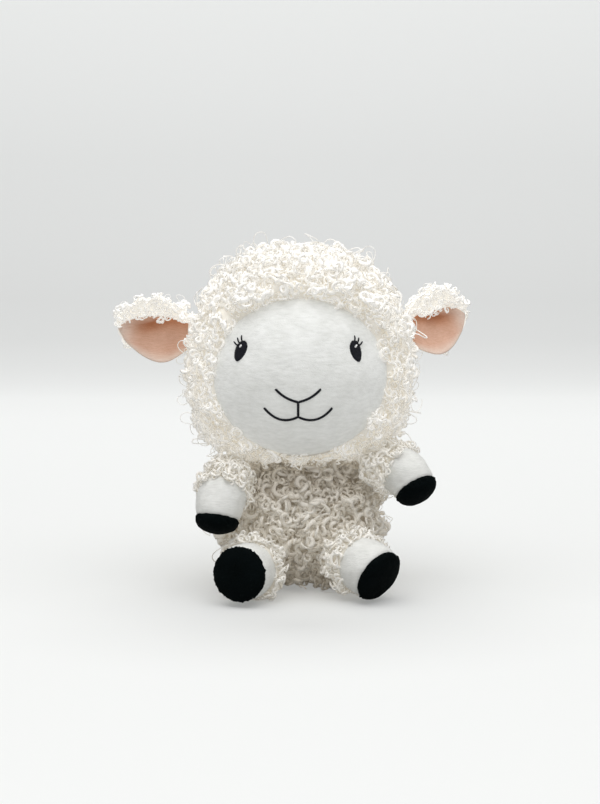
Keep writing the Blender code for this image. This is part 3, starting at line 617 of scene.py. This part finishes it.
def tuft(points):
    """How far the pile falls back at points, the same soft knots that the model has."""
    x, y, z = (points * 2 * math.pi / TUFT_SPACING).T
    wave = np.sin(x) * np.cos(y) + np.sin(y) * np.cos(z) + np.sin(z) * np.cos(x)
    return (TUFT_DEPTH * (1 - np.clip(wave, -1, 1)) / 2)[:, None]


def face_front(x, z):
    """How far forward the face's dome is at points across it."""
    rise = math.sqrt(1 - (1 - FACE_BULGE / FACE_DEPTH) ** 2)
    share = 1 - (x * rise / FACE_HALF[0]) ** 2 - ((z - FACE[2]) * rise / FACE_HALF[1]) ** 2
    return FACE[1] - FACE_DEPTH * np.sqrt(np.clip(share, .02, 1))


def face_softness(x, z):
    """Low lumps in the padding behind the face, and the dents that the eyes' stitches pull in."""
    flat = np.stack([x, np.zeros_like(x), z], 1)
    soft = ripple(flat, 17, 2) * .45 + ripple(flat, 7, 6) * .16
    for side in (RIGHT, LEFT):
        far = np.hypot(x - STITCH_SHIFT - side * EYE_SPREAD / 2, z - FACE[2] - EYE_RISE)
        soft += .9 * np.exp(-((far / 7.0) ** 2))
    return soft


def face_reach(points):
    """0 in the middle of the face, 1 at its edge, more outside it."""
    return np.hypot(points[:, 0] / FACE_HALF[0], (points[:, 2] - FACE[2]) / FACE_HALF[1])


def make_head():
    cage = bmesh.new()
    bmesh.ops.create_icosphere(cage, subdivisions=6, radius=1.0)
    ways = np.array([v.co[:] for v in cage.verts])
    faces = [tuple(v.index for v in f.verts) for f in cage.faces]
    cage.free()
    side, deep, crown, chin = HEAD_RADII
    upright = np.where(ways[:, 2] > 0, crown, chin)
    radii = np.stack([np.full(len(ways), side), np.full(len(ways), deep), upright], 1)
    reach = (np.abs(ways / (radii - FLEECE_SINK)) ** HEAD_ROUNDNESS).sum(1) ** (-1 / HEAD_ROUNDNESS)
    fall = tuft(ways * reach[:, None] + HEAD)
    points = ways * (reach[:, None] - fall) + HEAD
    edge = face_reach(points)
    front = points[:, 1] < HEAD[1]
    rim = 1.04 + .16 * ease(0, 40, points[:, 2] - FACE[2])
    dome = face_front(np.clip(points[:, 0], -FACE_HALF[0], FACE_HALF[0]), points[:, 2])
    # the fleece rolls down into the seam round the face, and its backing passes behind the face
    roll = np.where(front, 1 - ease(1.0, rim, edge), 0)
    behind = np.where(front, 1 - ease(.94, .99, edge), 0)
    outside = np.maximum(edge, 1)
    seam = face_front(points[:, 0] / outside, FACE[2] + (points[:, 2] - FACE[2]) / outside)
    points[:, 1] = points[:, 1] * (1 - ROLL * roll) + np.maximum(points[:, 1], seam + .4) * ROLL * roll
    points[:, 1] = points[:, 1] * (1 - behind) + (dome + BEHIND_FACE) * behind
    cover = np.clip(ease(.975, .99, edge) + (points[:, 1] > -20), 0, 1)
    # curls are small at the seam and in the hollows, and large on the tufts
    hollow = fall[:, 0] / TUFT_DEPTH
    size = np.where(front, .68 + .32 * ease(1.0, 1.3, edge), 1.0) * (1.2 - .45 * hollow)
    return make_mesh("head_fleece_cover", points, faces, {"cover": cover, "size": size, "hollow": hollow})


def make_body():
    outline = smooth_table(BODY_OUTLINE)
    levels = np.linspace(0, outline[-1, 1], 34)
    widths = np.interp(levels, outline[:, 1], outline[:, 0])
    rings = []
    for level, share in [(.012, widths[0] * .35), (.008, widths[0] * .75), *zip(levels, widths)]:
        across = share * BODY_WIDTH / 2 - FLEECE_SINK
        deep = share * BODY_DEPTH / 2 - FLEECE_SINK
        height = max(level * BODY_HEIGHT, .8)
        rings.append([(across * math.cos(a), deep * math.sin(a), height) for a in turns(72)])
    rings.append([(p[0] * .4, p[1] * .4, p[2] + 1.5) for p in rings[-1]])
    points, faces = loft(rings)
    hollow = tuft(points)[:, 0] / TUFT_DEPTH
    level = points * (1, 1, 0)
    level /= np.maximum(np.linalg.norm(level, axis=1), 1e-3)[:, None]
    points = points - level * tuft(points) * np.clip(points[:, 2] / TUFT_FADE, 0, 1)[:, None]
    # an arch between the legs
    arch = np.exp(-((points[:, 0] / 17) ** 2)) * ease(14, 26, -points[:, 1]) * (1 - ease(4, 30, points[:, 2]))
    points = points + np.stack([arch * 0, arch * 4, arch * 9], 1)
    cover = ease(2.0, 6.0, points[:, 2])
    size = 1.15 - .35 * hollow
    return make_mesh("body_fleece_cover", points, faces, {"cover": cover, "size": size, "hollow": hollow})


class Limb:
    """The bent middle line and outline of an arm or a leg."""

    def __init__(self, side, pivot, sizes):
        root, end = (direction(side, *pose) for pose in sizes["poses"][side])
        self.length, self.radius = sizes["length"], sizes["radius"]
        self.split, self.bulge = 1 - sizes["cover"] / sizes["length"], sizes["bulge"]
        self.flap, self.puff = sizes["flap"], sizes["puff"]
        self.pivot = np.array((side * pivot[0], *pivot[1:]))
        self.control = self.pivot + root * self.length / 2
        self.end, self.end_way = self.control + end * self.length / 2, end
        self.outline = smooth_table(sizes["outline"])

    def centre(self, share):
        if share > 1:
            return self.end + self.end_way * (share - 1) * self.length
        t = max(share, 0.0)
        return self.pivot * (1 - t) ** 2 + self.control * 2 * t * (1 - t) + self.end * t**2

    def way(self, share):
        t = min(max(share, 0.0), 1.0)
        way = (self.control - self.pivot) * (1 - t) + (self.end - self.control) * t
        return way / np.linalg.norm(way)

    def ring(self, share, grow, count):
        """A ring round the limb, whose radius is the outline's plus a number of millimetres."""
        radius = max(read_table(self.outline, min(share, 1.0)) * self.radius + grow, .4)
        return ring(self.centre(share), *frame_of(self.way(share)), radius, count)


def make_sock(limb, name):
    """Fleece part of a limb: a root in the body, then the sleeve to the seam of the short plush."""
    count = 36
    rows = [(0.0, -limb.radius * .5), (.02, -limb.radius * .22), (.06, -limb.radius * .06)]
    rows += [(s, 0) for s in np.linspace(.1, limb.split - .02, 14)]
    hem = limb.split + limb.flap
    rows += [(limb.split, .7), (hem - .015, .9), (hem, .5), (hem + .005, -3.0)]
    points, faces = loft([limb.ring(s, grow - FLEECE_SINK * .8, count) for s, grow in rows])
    along = np.array([s for s, _ in rows for _ in range(count)] + [0, 1.0])
    cover = ease(.09, .16, along) * (1 - ease(hem, hem + .004, along))
    size = .95 - .2 * ease(hem - .16, hem, along)
    return make_mesh(name, points, faces, {"cover": cover, "size": size})


def make_cuff(limb, name, seed):
    """Short plush part of a limb: puffed between its two seams, with soft puckers at both."""
    count, rows = 72, 26
    rings = [limb.ring(limb.split + .004, -4.0, count)]
    for k in range(rows + 1):
        t = k / rows
        puff = limb.puff * math.sin(math.pi * t) ** .8 - 1.0 * float(ease(.93, 1, t))
        rings.append(limb.ring(limb.split + (1 - limb.split) * t, puff, count))
    rings.append(limb.ring(1.0, -3.5, count))
    points, faces = loft(rings)
    shares = [0.0, *(k / rows for k in range(rows + 1)), 1.0]
    along = np.array([share for share in shares for _ in range(count)] + [0, 1])
    around = np.array([i / count for _ in shares for i in range(count)] + [0, 0]) * 2 * math.pi
    middle = np.array([limb.centre(limb.split + (1 - limb.split) * a) for a in along])
    out = points - middle
    out /= np.maximum(np.linalg.norm(out, axis=1), 1e-3)[:, None]
    wave = np.sin(around * 9 + 2.0 * np.sin(around * 2 + seed)) * .5 + np.sin(around * 15 + seed * 2.1) * .3
    pucker = wave * (np.exp(-along / .16) + np.exp(-(1 - along) / .12)) * .45
    soft = ripple(points, 8, seed) * .55 * np.sin(math.pi * along) ** .5
    points = points + out * (pucker + soft)[:, None] * (np.linalg.norm(points - middle, axis=1) > 5)[:, None]
    return make_mesh(name, points, faces)


def make_sole(limb, name, seed):
    """The black end cap: a shallow stuffed dome, its ragged edge tucked in at the seam."""
    count = 144
    radius = float(read_table(limb.outline, 1.0)) * limb.radius
    height = limb.bulge * radius
    rows = [(-1.2, radius * .9), (0.0, radius * .985), (.9, radius * 1.012), (2.0, radius * 1.0)]
    for degrees in np.linspace(8, 86, 14):
        turn = math.radians(float(degrees))
        rows.append((2.2 + height * math.sin(turn), radius * math.cos(turn)))
    across, up = frame_of(limb.end_way)
    points, faces = loft([ring(limb.end + limb.end_way * far, across, up, size, count) for far, size in rows])
    points = points + limb.end_way * (ripple(points, 7, seed) * .35)[:, None]
    far = points - limb.end
    level = far @ limb.end_way
    out = far - level[:, None] * limb.end_way
    ragged = ripple(points, 1.5, seed + 9) * np.exp(-(((level - 1.6) / 1.6) ** 2)) * 1.1
    points = points + out / np.maximum(np.linalg.norm(out, axis=1), 1)[:, None] * ragged[:, None]
    return make_mesh(name, points, faces)


def ear_place(side):
    lift, sweep, roll = (math.radians(a) for a in EAR_POSES[side])
    root = Vector((side * EAR_ROOT[0], EAR_ROOT[1], EAR_ROOT[2]))
    place = (
        Matrix.Translation(root) @ Matrix.Rotation(-side * lift, 4, "Y")
        @ Matrix.Rotation(side * sweep, 4, "Z") @ Matrix.Rotation(roll, 4, "X")
    )
    return np.array(place)


EAR_FOLD = 2.5  # depth of the fold in the ear's hollow
LINING_THICK = .9


def ear_groove(along, across):
    """Depth of the fold in the ear's hollow: it leaves the upper edge at the root and fades to the tip."""
    line = .4 - .34 * ease(.2, .85, along)
    fall = np.where(across > line, .07, .3)
    return EAR_FOLD * np.exp(-(((across - line) / fall) ** 2)) * (1 - ease(.55, .92, along)) * ease(.02, .2, along)


def ear_trim(along, across):
    """The lower edge of the ear runs straighter to the tip than its upper one."""
    return np.where(across < 0, across * (1 - .3 * ease(.3, 1.0, along)), across)


def ear_point(side, along, across, away):
    """A point of the ear's hollow in the sheep's own place; across is a share of the ear's full width."""
    across = ear_trim(along, across)
    away = away - EAR_CUP * across**2
    local = np.stack([side * along * EAR_LENGTH, away, across * EAR_WIDTH / 2, np.ones_like(along)])
    return (ear_place(side) @ local)[:3].T


def make_ear(side, name):
    """The fleece leaf: hollow front, rounded rim and a fuller back."""
    outline = smooth_table(EAR_OUTLINE)
    count, stations = 48, np.concatenate([np.linspace(.04, .9, 26), [.93, .96, .985, 1.0]])
    rings, cover, size = [], [], []
    for along in stations:
        half = .4 + along if along < .1 else float(read_table(outline, along)) if along < 1 else .12
        across, lift = np.cos(turns(count)) * half, np.sin(turns(count))
        front = lift > 0
        thick = np.where(front, -.3 * np.abs(lift) ** .6, (EAR_WALL - 1.0) * np.abs(lift) ** .6)
        hollow = (ear_groove(np.full(count, along), across) + .5) * front * np.clip(np.abs(lift) * 3, 0, 1)
        rings.append(ear_point(side, np.full(count, along), across, thick + hollow))
        upper = across > .38 * half
        lower_rim = across < -.86 * half
        cover.append(np.where((front & ~upper) | lower_rim, 0.0, 1.0) * float(ease(.04, .1, along)))
        size.append(np.where(front, .68, .85))
    points, faces = loft(rings)
    cover = np.concatenate([*cover, [0, 1]])
    size = np.concatenate([*size, [.7, .7]])
    return make_mesh(name, points, faces, {"cover": cover, "size": size})


def make_lining(side, name):
    """The pink hollow: its lower part lies open, its upper edge folds forward over the crease."""
    outline = smooth_table(EAR_OUTLINE)
    rows, columns = 44, 34
    front, back, shade, pale = [], [], [], []
    for i in range(rows + 1):
        along = .13 + (.99 - .13) * (i / rows) ** .9
        here = np.full(columns + 1, along)
        half = float(read_table(outline, along)) * math.sqrt(1 - (max(along - .86, 0) / .136) ** 2)
        t = np.linspace(-1, 1, columns + 1)
        across = (-.29 + .7 * t) * half
        edge = 1 - np.abs(t) ** 6
        ends = 1 - float(ease(.93, .99, along))
        groove = ear_groove(here, across)
        puff = .7 * np.exp(-(((across - .62 * half) / (.22 * half)) ** 2))
        away = groove - LINING_THICK * edge * ends - .2
        front.append(ear_point(side, here, across, away - puff))
        back.append(ear_point(side, here, across, away + LINING_THICK * edge + .15))
        # painted shade in the crease
        shade.append(groove / EAR_FOLD)
        # painted light along the lower rim and towards the tip
        pale.append(np.maximum(ease(.45, 1.0, -t), ease(.7, .98, here)))
    width = columns + 1
    points = np.vstack([*front, *back])
    offset = (rows + 1) * width
    faces = []
    for i in range(rows):
        for j in range(columns):
            a = i * width + j
            faces.append((a, a + 1, a + width + 1, a + width))
            faces.append((offset + a + width, offset + a + width + 1, offset + a + 1, offset + a))
    border = list(range(columns)) + [i * width + columns for i in range(rows)]
    border += [rows * width + j for j in range(columns, 0, -1)] + [i * width for i in range(rows, 0, -1)]
    for a, b in zip(border, border[1:] + border[:1]):
        faces.append((b, a, offset + a, offset + b))
    fold, edge = (np.concatenate([np.concatenate(values)] * 2) for values in (shade, pale))
    return make_mesh(name, points, faces, {"fold": fold, "edge": edge})


def make_tail():
    way = -direction(LEFT, 0.0, -TAIL_PITCH)
    across, up = frame_of(way)
    outline = smooth_table(TAIL_OUTLINE)
    rows = [(float(s), float(read_table(outline, s)) * TAIL_RADIUS - 1.4) for s in np.linspace(-.1, 1, 22)]
    rows.append((1.06, 1.2))
    root = np.array(TAIL_ROOT)
    points, faces = loft([ring(root + way * TAIL_LENGTH * s, across, up, max(r, .6), 36) for s, r in rows])
    shares = {"cover": np.ones(len(points)), "size": np.full(len(points), .8)}
    return make_mesh("tail_fleece_cover", points, faces, shares)


def make_face():
    """The smooth panel: a dome whose edge dips behind the fleece, dented a little by its stitches."""
    rows, count = 60, 128
    rings = []
    for k in range(1, rows + 1):
        t = (k / rows) * 1.02
        x = FACE_HALF[0] * t * np.cos(turns(count))
        z = FACE[2] + FACE_HALF[1] * t * np.sin(turns(count))
        y = face_front(x, z) + 1.6 * float(ease(.96, 1.02, t))
        rings.append(np.stack([x, y, z], 1))
    back = rings[-1] + (0, 2.0, 0)
    inner = back.mean(0) + (back - back.mean(0)) * .9
    points, faces = loft([*rings, back, inner])
    reach = face_reach(points)
    puckers = np.sin(np.arctan2(points[:, 2] - FACE[2], points[:, 0]) * 38) * .22 * ease(.86, .97, reach)
    points[:, 1] += (face_softness(points[:, 0], points[:, 2]) + puckers) * (reach < 1.01)
    # painted shade: a thin darker line along the seam at the face's edge
    return make_mesh("face_panel_plush", points, faces, {"fold": ease(.982, 1.0, reach)})


# ---- stitching
def on_face(x, z, proud):
    """Points on the padded face, lifted off it by millimetres."""
    x, z, proud = (np.atleast_1d(np.asarray(v, float)) for v in (x, z, proud))
    return np.stack([x, face_front(x, z) + face_softness(x, z) - proud, z], 1)


class Threads:
    """Many thread lengths gathered into one mesh."""

    def __init__(self):
        self.points, self.faces = [], []

    def strand(self, path, radius, sides=6, flat=.8):
        path = np.asarray(path, float)
        ways = np.gradient(path, axis=0)
        ways /= np.linalg.norm(ways, axis=1)[:, None]
        start = len(self.points)
        for i, (p, way) in enumerate(zip(path, ways)):
            side = np.cross(way, (0, 1, 0))
            side /= np.linalg.norm(side)
            up = np.cross(side, way)
            taper = .55 if i in (0, len(path) - 1) else 1.0
            for k in range(sides):
                a = 2 * math.pi * k / sides
                self.points.append(p + (side * math.cos(a) + up * math.sin(a) * flat) * radius * taper)
        self.faces += wrap(len(path), sides, start) + caps(len(path), sides, start)

    def made(self, name):
        return make_mesh(name, self.points, self.faces)


def stitch_across(threads, a, b, height, radius, steps=4):
    """One satin stitch from a to b on the face: its ends dip in, its middle stands up."""
    t = np.linspace(0, 1, steps + 1)
    x, z = a[0] + (b[0] - a[0]) * t, a[1] + (b[1] - a[1]) * t
    threads.strand(on_face(x, z, -.15 + (height + .15) * np.sin(math.pi * t) ** .55), radius)


def satin_line(threads, line, width, height, pitch, slant=.35):
    """Satin stitches side by side along a line of (x, z) points."""
    line = np.asarray(line, float)
    lengths = np.concatenate([[0], np.cumsum(np.linalg.norm(np.diff(line, axis=0), axis=1))])

    def at(far):
        return np.array([np.interp(far, lengths, line[:, k]) for k in (0, 1)])

    for far in np.arange(0, lengths[-1] + 1e-6, pitch):
        way = at(min(far + .5, lengths[-1])) - at(max(far - .5, 0))
        way /= np.linalg.norm(way)
        end = min(far, lengths[-1] - far)
        half = width / 2 * (.62 + .38 * min(end / .8, 1.0))
        across = np.array((-way[1], way[0])) + way * slant
        stitch_across(threads, at(far) - across * half, at(far) + across * half, height, pitch * .62)


def eye_centre(side, rise=0.0):
    return np.array((STITCH_SHIFT + side * EYE_SPREAD / 2, FACE[2] + EYE_RISE + rise))


def tilted(degrees):
    """The directions across and along a stitched form that is turned on the face."""
    turn = math.radians(degrees)
    return np.array((math.cos(turn), -math.sin(turn))), np.array((math.sin(turn), math.cos(turn)))


def make_eye(side, name):
    threads = Threads()
    centre, (wide, tall) = eye_centre(side), tilted(-side * EYE_TILT)
    dice = random.Random(11 + side)
    for level in np.arange(-EYE_LENGTH / 2 + .15, EYE_LENGTH / 2 - .1, EYE_PITCH):
        cosine = level / (EYE_LENGTH / 2)
        half = EYE_WIDTH / 2 * math.sqrt(max(1 - cosine**2, 0)) * (1 + .14 * cosine) + dice.uniform(-.08, .12)
        half = max(half, .5)
        slope = tall * .22 * half
        middle = centre + tall * level
        stitch_across(threads, middle - wide * half - slope, middle + wide * half + slope, .75, .24, 6)
    for (x0, z0), (x1, z1) in LASHES:
        a, b = (centre + np.array((side * x, z)) * EYE_LENGTH for x, z in ((x0, z0), (x1, z1)))
        bow = (b - a)[::-1] * np.array((1, -1)) * .1 * side
        line = [a + (b - a) * t + bow * math.sin(math.pi * t) for t in np.linspace(0, 1, 8)]
        satin_line(threads, line, .85, .6, .3, .9)
    return threads.made(name)


def make_glint(side, name):
    threads = Threads()
    centre, (across, along) = eye_centre(side, GLINT_RISE), tilted(38)
    for k in (-1, 0, 1):
        half = 1.2 * math.sqrt(1 - (k / 1.9) ** 2)
        t = np.linspace(-1, 1, 6)
        spot = centre + across * k * .28
        x, z = spot[0] + along[0] * half * t, spot[1] + along[1] * half * t
        threads.strand(on_face(x, z, .55 + .62 * np.sqrt(np.clip(1 - t**2, 0, 1))), .2)
    return threads.made(name)


def make_mouth(name):
    threads = Threads()
    fork = np.array((STITCH_SHIFT, FACE[2] - NOSE_DROP))
    middle = fork - (0, LIP)
    steps = np.linspace(0, 1, 24)[:, None]
    for side in (RIGHT, LEFT):
        nostril, corner = fork + (side * NOSE_HALF, NOSE_RISE), middle + (side * SMILE_HALF, SMILE_RISE)
        sag, dip = fork + (side * NOSE_HALF * .6, NOSE_RISE * .22), middle + (side * SMILE_HALF * .56, -SMILE_DIP)
        for a, b, c in ((fork, sag, nostril), (middle, dip, corner)):
            line = a * (1 - steps) ** 2 + b * 2 * steps * (1 - steps) + c * steps**2
            satin_line(threads, line, LINE_WIDTH, .6, LINE_PITCH)
    satin_line(threads, fork + (middle - fork) * steps, LINE_WIDTH, .65, LINE_PITCH)
    return threads.made(name)


# ---- the sheep
def dress(obj, body, nodes, cloth=None):
    """Gives a piece its cloth, the body that it moves with and the nodes that it stands for."""
    if cloth:
        obj.data.materials.clear()
        obj.data.materials.append(cloth)
    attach(obj, body)
    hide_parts(*nodes)
    return obj


def settle(obj):
    """Curls under the sheep are pressed flat by its seat."""
    points = points_of(obj)
    free = FLOOR_GAP + PRESS
    low = points[:, 2] < free
    points[low, 2] = free - PRESS * np.tanh((free - points[low, 2]) / PRESS)
    set_points(obj, points)
    return obj


FLOOR_GAP, PRESS = .25, 1.2  # the lowest that curls reach, and the height over which they are pressed
# each pass: spacing in millimetres, seed, lean, least and greatest size, kinds of curl
HEAD_COAT = [
    curls(5.0, 1, .28, .88, 1.22, LONG_CURLS),
    curls(2.9, 7, .2, 1.0, 1.35, UNDERCOAT),
    curls(7.5, 2, .4, .9, 1.4, WISPS),
]
BODY_COAT = [
    curls(5.8, 12, .28, 1.05, 1.4, LONG_CURLS),
    curls(3.0, 8, .2, 1.0, 1.35, UNDERCOAT),
    curls(9, 6, .4, .8, 1.2, WISPS),
]
TAIL_COAT = [curls(3.8, 5), curls(2.7, 9, .4, kinds=UNDERCOAT)]


def ear_coat(side):
    return [
        curls(3.9, 20 + side, .35, .75, 1.05, LONG_CURLS),
        curls(2.4, 24 + side, .3, kinds=UNDERCOAT),
        curls(8.0, 30 + side, .4, .9, 1.4, WISPS),
    ]


def sleeve_coat(side, name):
    return [
        curls(4.6, 40 + side + len(name), .28, .82, 1.12, LONG_CURLS),
        curls(2.7, 60 + side, .4, kinds=UNDERCOAT),
    ]


dress(grow(make_head(), HEAD_COAT, FLEECE), "head", ["head_fleece"])
dress(settle(grow(make_body(), BODY_COAT, SHADED_FLEECE)), "body", ["body_fleece"])
dress(settle(grow(make_tail(), TAIL_COAT, SHADED_FLEECE)), "tail", ["tail"])
dress(make_face(), "head", ["face_panel"], FACE_PLUSH)
dress(make_mouth("nose_and_mouth_stitching"), "head", ["nose_and_mouth"], THREAD)

for side in (RIGHT, LEFT):
    own = SIDE_NAMES[side]
    dress(make_eye(side, f"{own}_eye_stitching"), "head", [f"{own}_eye"], THREAD)
    dress(make_glint(side, f"{own}_eye_glint_stitching"), "head", [f"{own}_eye_glint"], GLINT)
    ear = grow(make_ear(side, f"{own}_ear_cover"), ear_coat(side), EAR_FLEECE)
    dress(ear, f"{own}_ear", [f"{own}_ear_fleece"])
    dress(make_lining(side, f"{own}_ear_lining_plush"), f"{own}_ear", [f"{own}_ear_lining"], PINK)
    for kind, pivot, sizes, cuff, sole in (("arm", SHOULDER, ARM, "cuff", "hoof"), ("leg", HIP, LEG, "foot", "sole")):
        limb, name = Limb(side, pivot, sizes), f"{own}_{kind}"
        sleeve = settle(grow(make_sock(limb, f"{name}_sleeve"), sleeve_coat(side, name), SLEEVE_FLEECE))
        dress(sleeve, name, [f"{name}_fleece"])
        piece = make_cuff(limb, f"{name}_{cuff}_plush", 3 + side)
        dress(piece, name, [f"{name}_{cuff}"], WHITE)
        piece = make_sole(limb, f"{name}_{sole}_plush", 5 + side)
        dress(piece, name, [f"{name}_{sole}"], BLACK)


# ---- floor, light and camera
SWEEP = 1.6  # radius of the paper's sweep from floor to wall, in metres
# what the camera sees of the paper, from just behind the sheep to 5 m away and above
BACKDROP_GLOW = [
    (0.0, .28), (.055, .33), (.107, .38), (.15, .415), (.19, .42), (.237, .335), (.275, .288),
    (.315, .283), (.37, .318), (.44, .354), (.505, .412), (.56, .455), (1.0, .48),
]
PAPER = (.54, .543, .535)
SKY = (.68, .695, .685)  # what the camera sees beyond the paper
AIR, AIR_STRENGTH = (.985, .99, 1.0), .47  # the even light from all round
CAMERA_PLACE, CAMERA_PITCH, LENS, SENSOR = (0.0, -1.0, .221), 6.6, 77.87, 36.0


def make_backdrop():
    """A pale floor that sweeps up into a wall far behind."""
    profile = [(y, 0.0) for y in np.linspace(-9.0, 1.0, 30)]
    profile += [(1.0 + SWEEP * math.sin(a), SWEEP - SWEEP * math.cos(a)) for a in np.linspace(.06, math.pi / 2, 24)]
    profile += [(1.0 + SWEEP, z) for z in np.linspace(1.8, 6.0, 8)]
    points = [(x * 1000, y * 1000, z * 1000) for y, z in profile for x in (-12.0, -1.5, 0.0, 1.5, 12.0)]
    corners = [r * 5 + c for r in range(len(profile) - 1) for c in range(4)]
    return make_mesh("studio_floor", points, [(a, a + 1, a + 6, a + 5) for a in corners], closed=False)


def backdrop_material():
    """White paper. What the camera sees of it is set shade by shade, and lights nothing."""
    n = Nodes("studio_paper")
    x, y, z = n.parts(n.place)
    reach = n.length(n.vector(x, y))
    level = n.math("MAXIMUM", y, n.math("MINIMUM", n.math("MULTIPLY", reach, .4), .95))
    far = n.math("DIVIDE", n.math("ADD", level, z), 5.0, True)
    glow = n.ramp(far, *[(where, (value, value * 1.02, value * 1.01)) for where, value in BACKDROP_GLOW])
    # painted shadow: the floor's glow for the camera is dimmed most just in front of the feet
    apart = n.length(n.mapped((13.0, 20.0, 0.0), (0.0, 2.15, 0.0)))
    shade = n.math("POWER", n.math("SUBTRACT", 1.0, n.math("MULTIPLY", apart, .45), True), 1.5)
    glow_under_painted_shadow = n.math("SUBTRACT", 1.0, n.math("MULTIPLY", shade, .52))
    seen = n.add("ShaderNodeLightPath").outputs["Is Camera Ray"]
    n.set(Base_Color=PAPER, Emission_Color=glow, Emission_Strength=n.math("MULTIPLY", seen, glow_under_painted_shadow))
    n.set(Roughness=.9, Specular_IOR_Level=.1)
    return n.material


def make_air():
    """Even light from all round, with a sky of its own for the camera."""
    world = bpy.data.worlds.new("studio_air")
    world.use_nodes = True
    tree = Tree(world.node_tree)
    light = tree.fill(tree.tree.nodes["Background"], Color=AIR, Strength=AIR_STRENGTH)
    seen, which = tree.fill(tree.add("ShaderNodeBackground"), Color=SKY), tree.add("ShaderNodeMixShader")
    camera_ray = tree.add("ShaderNodeLightPath").outputs["Is Camera Ray"]
    for source, target in zip((camera_ray, light.outputs[0], seen.outputs[0]), which.inputs):
        tree.link(source, target)
    tree.link(which.outputs[0], tree.tree.nodes["World Output"].inputs["Surface"])
    return world


floor = make_backdrop()
floor.data.materials.append(backdrop_material())
scene = bpy.context.scene
scene.world = make_air()

softbox = bpy.data.lights.new("overhead_softbox", "AREA")
softbox.shape, softbox.size, softbox.energy, softbox.color = "DISK", 2.4, 30.0, (1, 1, 1)
lamp = bpy.data.objects.new("overhead_softbox", softbox)
lamp.location = (0.0, -.25, 1.6)
lamp.rotation_euler = (Vector((0, 0, .1)) - Vector(lamp.location)).to_track_quat("-Z", "Y").to_euler()
scene.collection.objects.link(lamp)

camera = bpy.data.cameras.new("photo_view")
camera.lens, camera.sensor_width, camera.sensor_fit = LENS, SENSOR, "AUTO"
eye = bpy.data.objects.new("photo_view", camera)
eye.location = CAMERA_PLACE
eye.rotation_euler = (math.radians(90 - CAMERA_PITCH), 0, 0)
scene.collection.objects.link(eye)
scene.camera = eye
scene.view_settings.view_transform = "Standard"
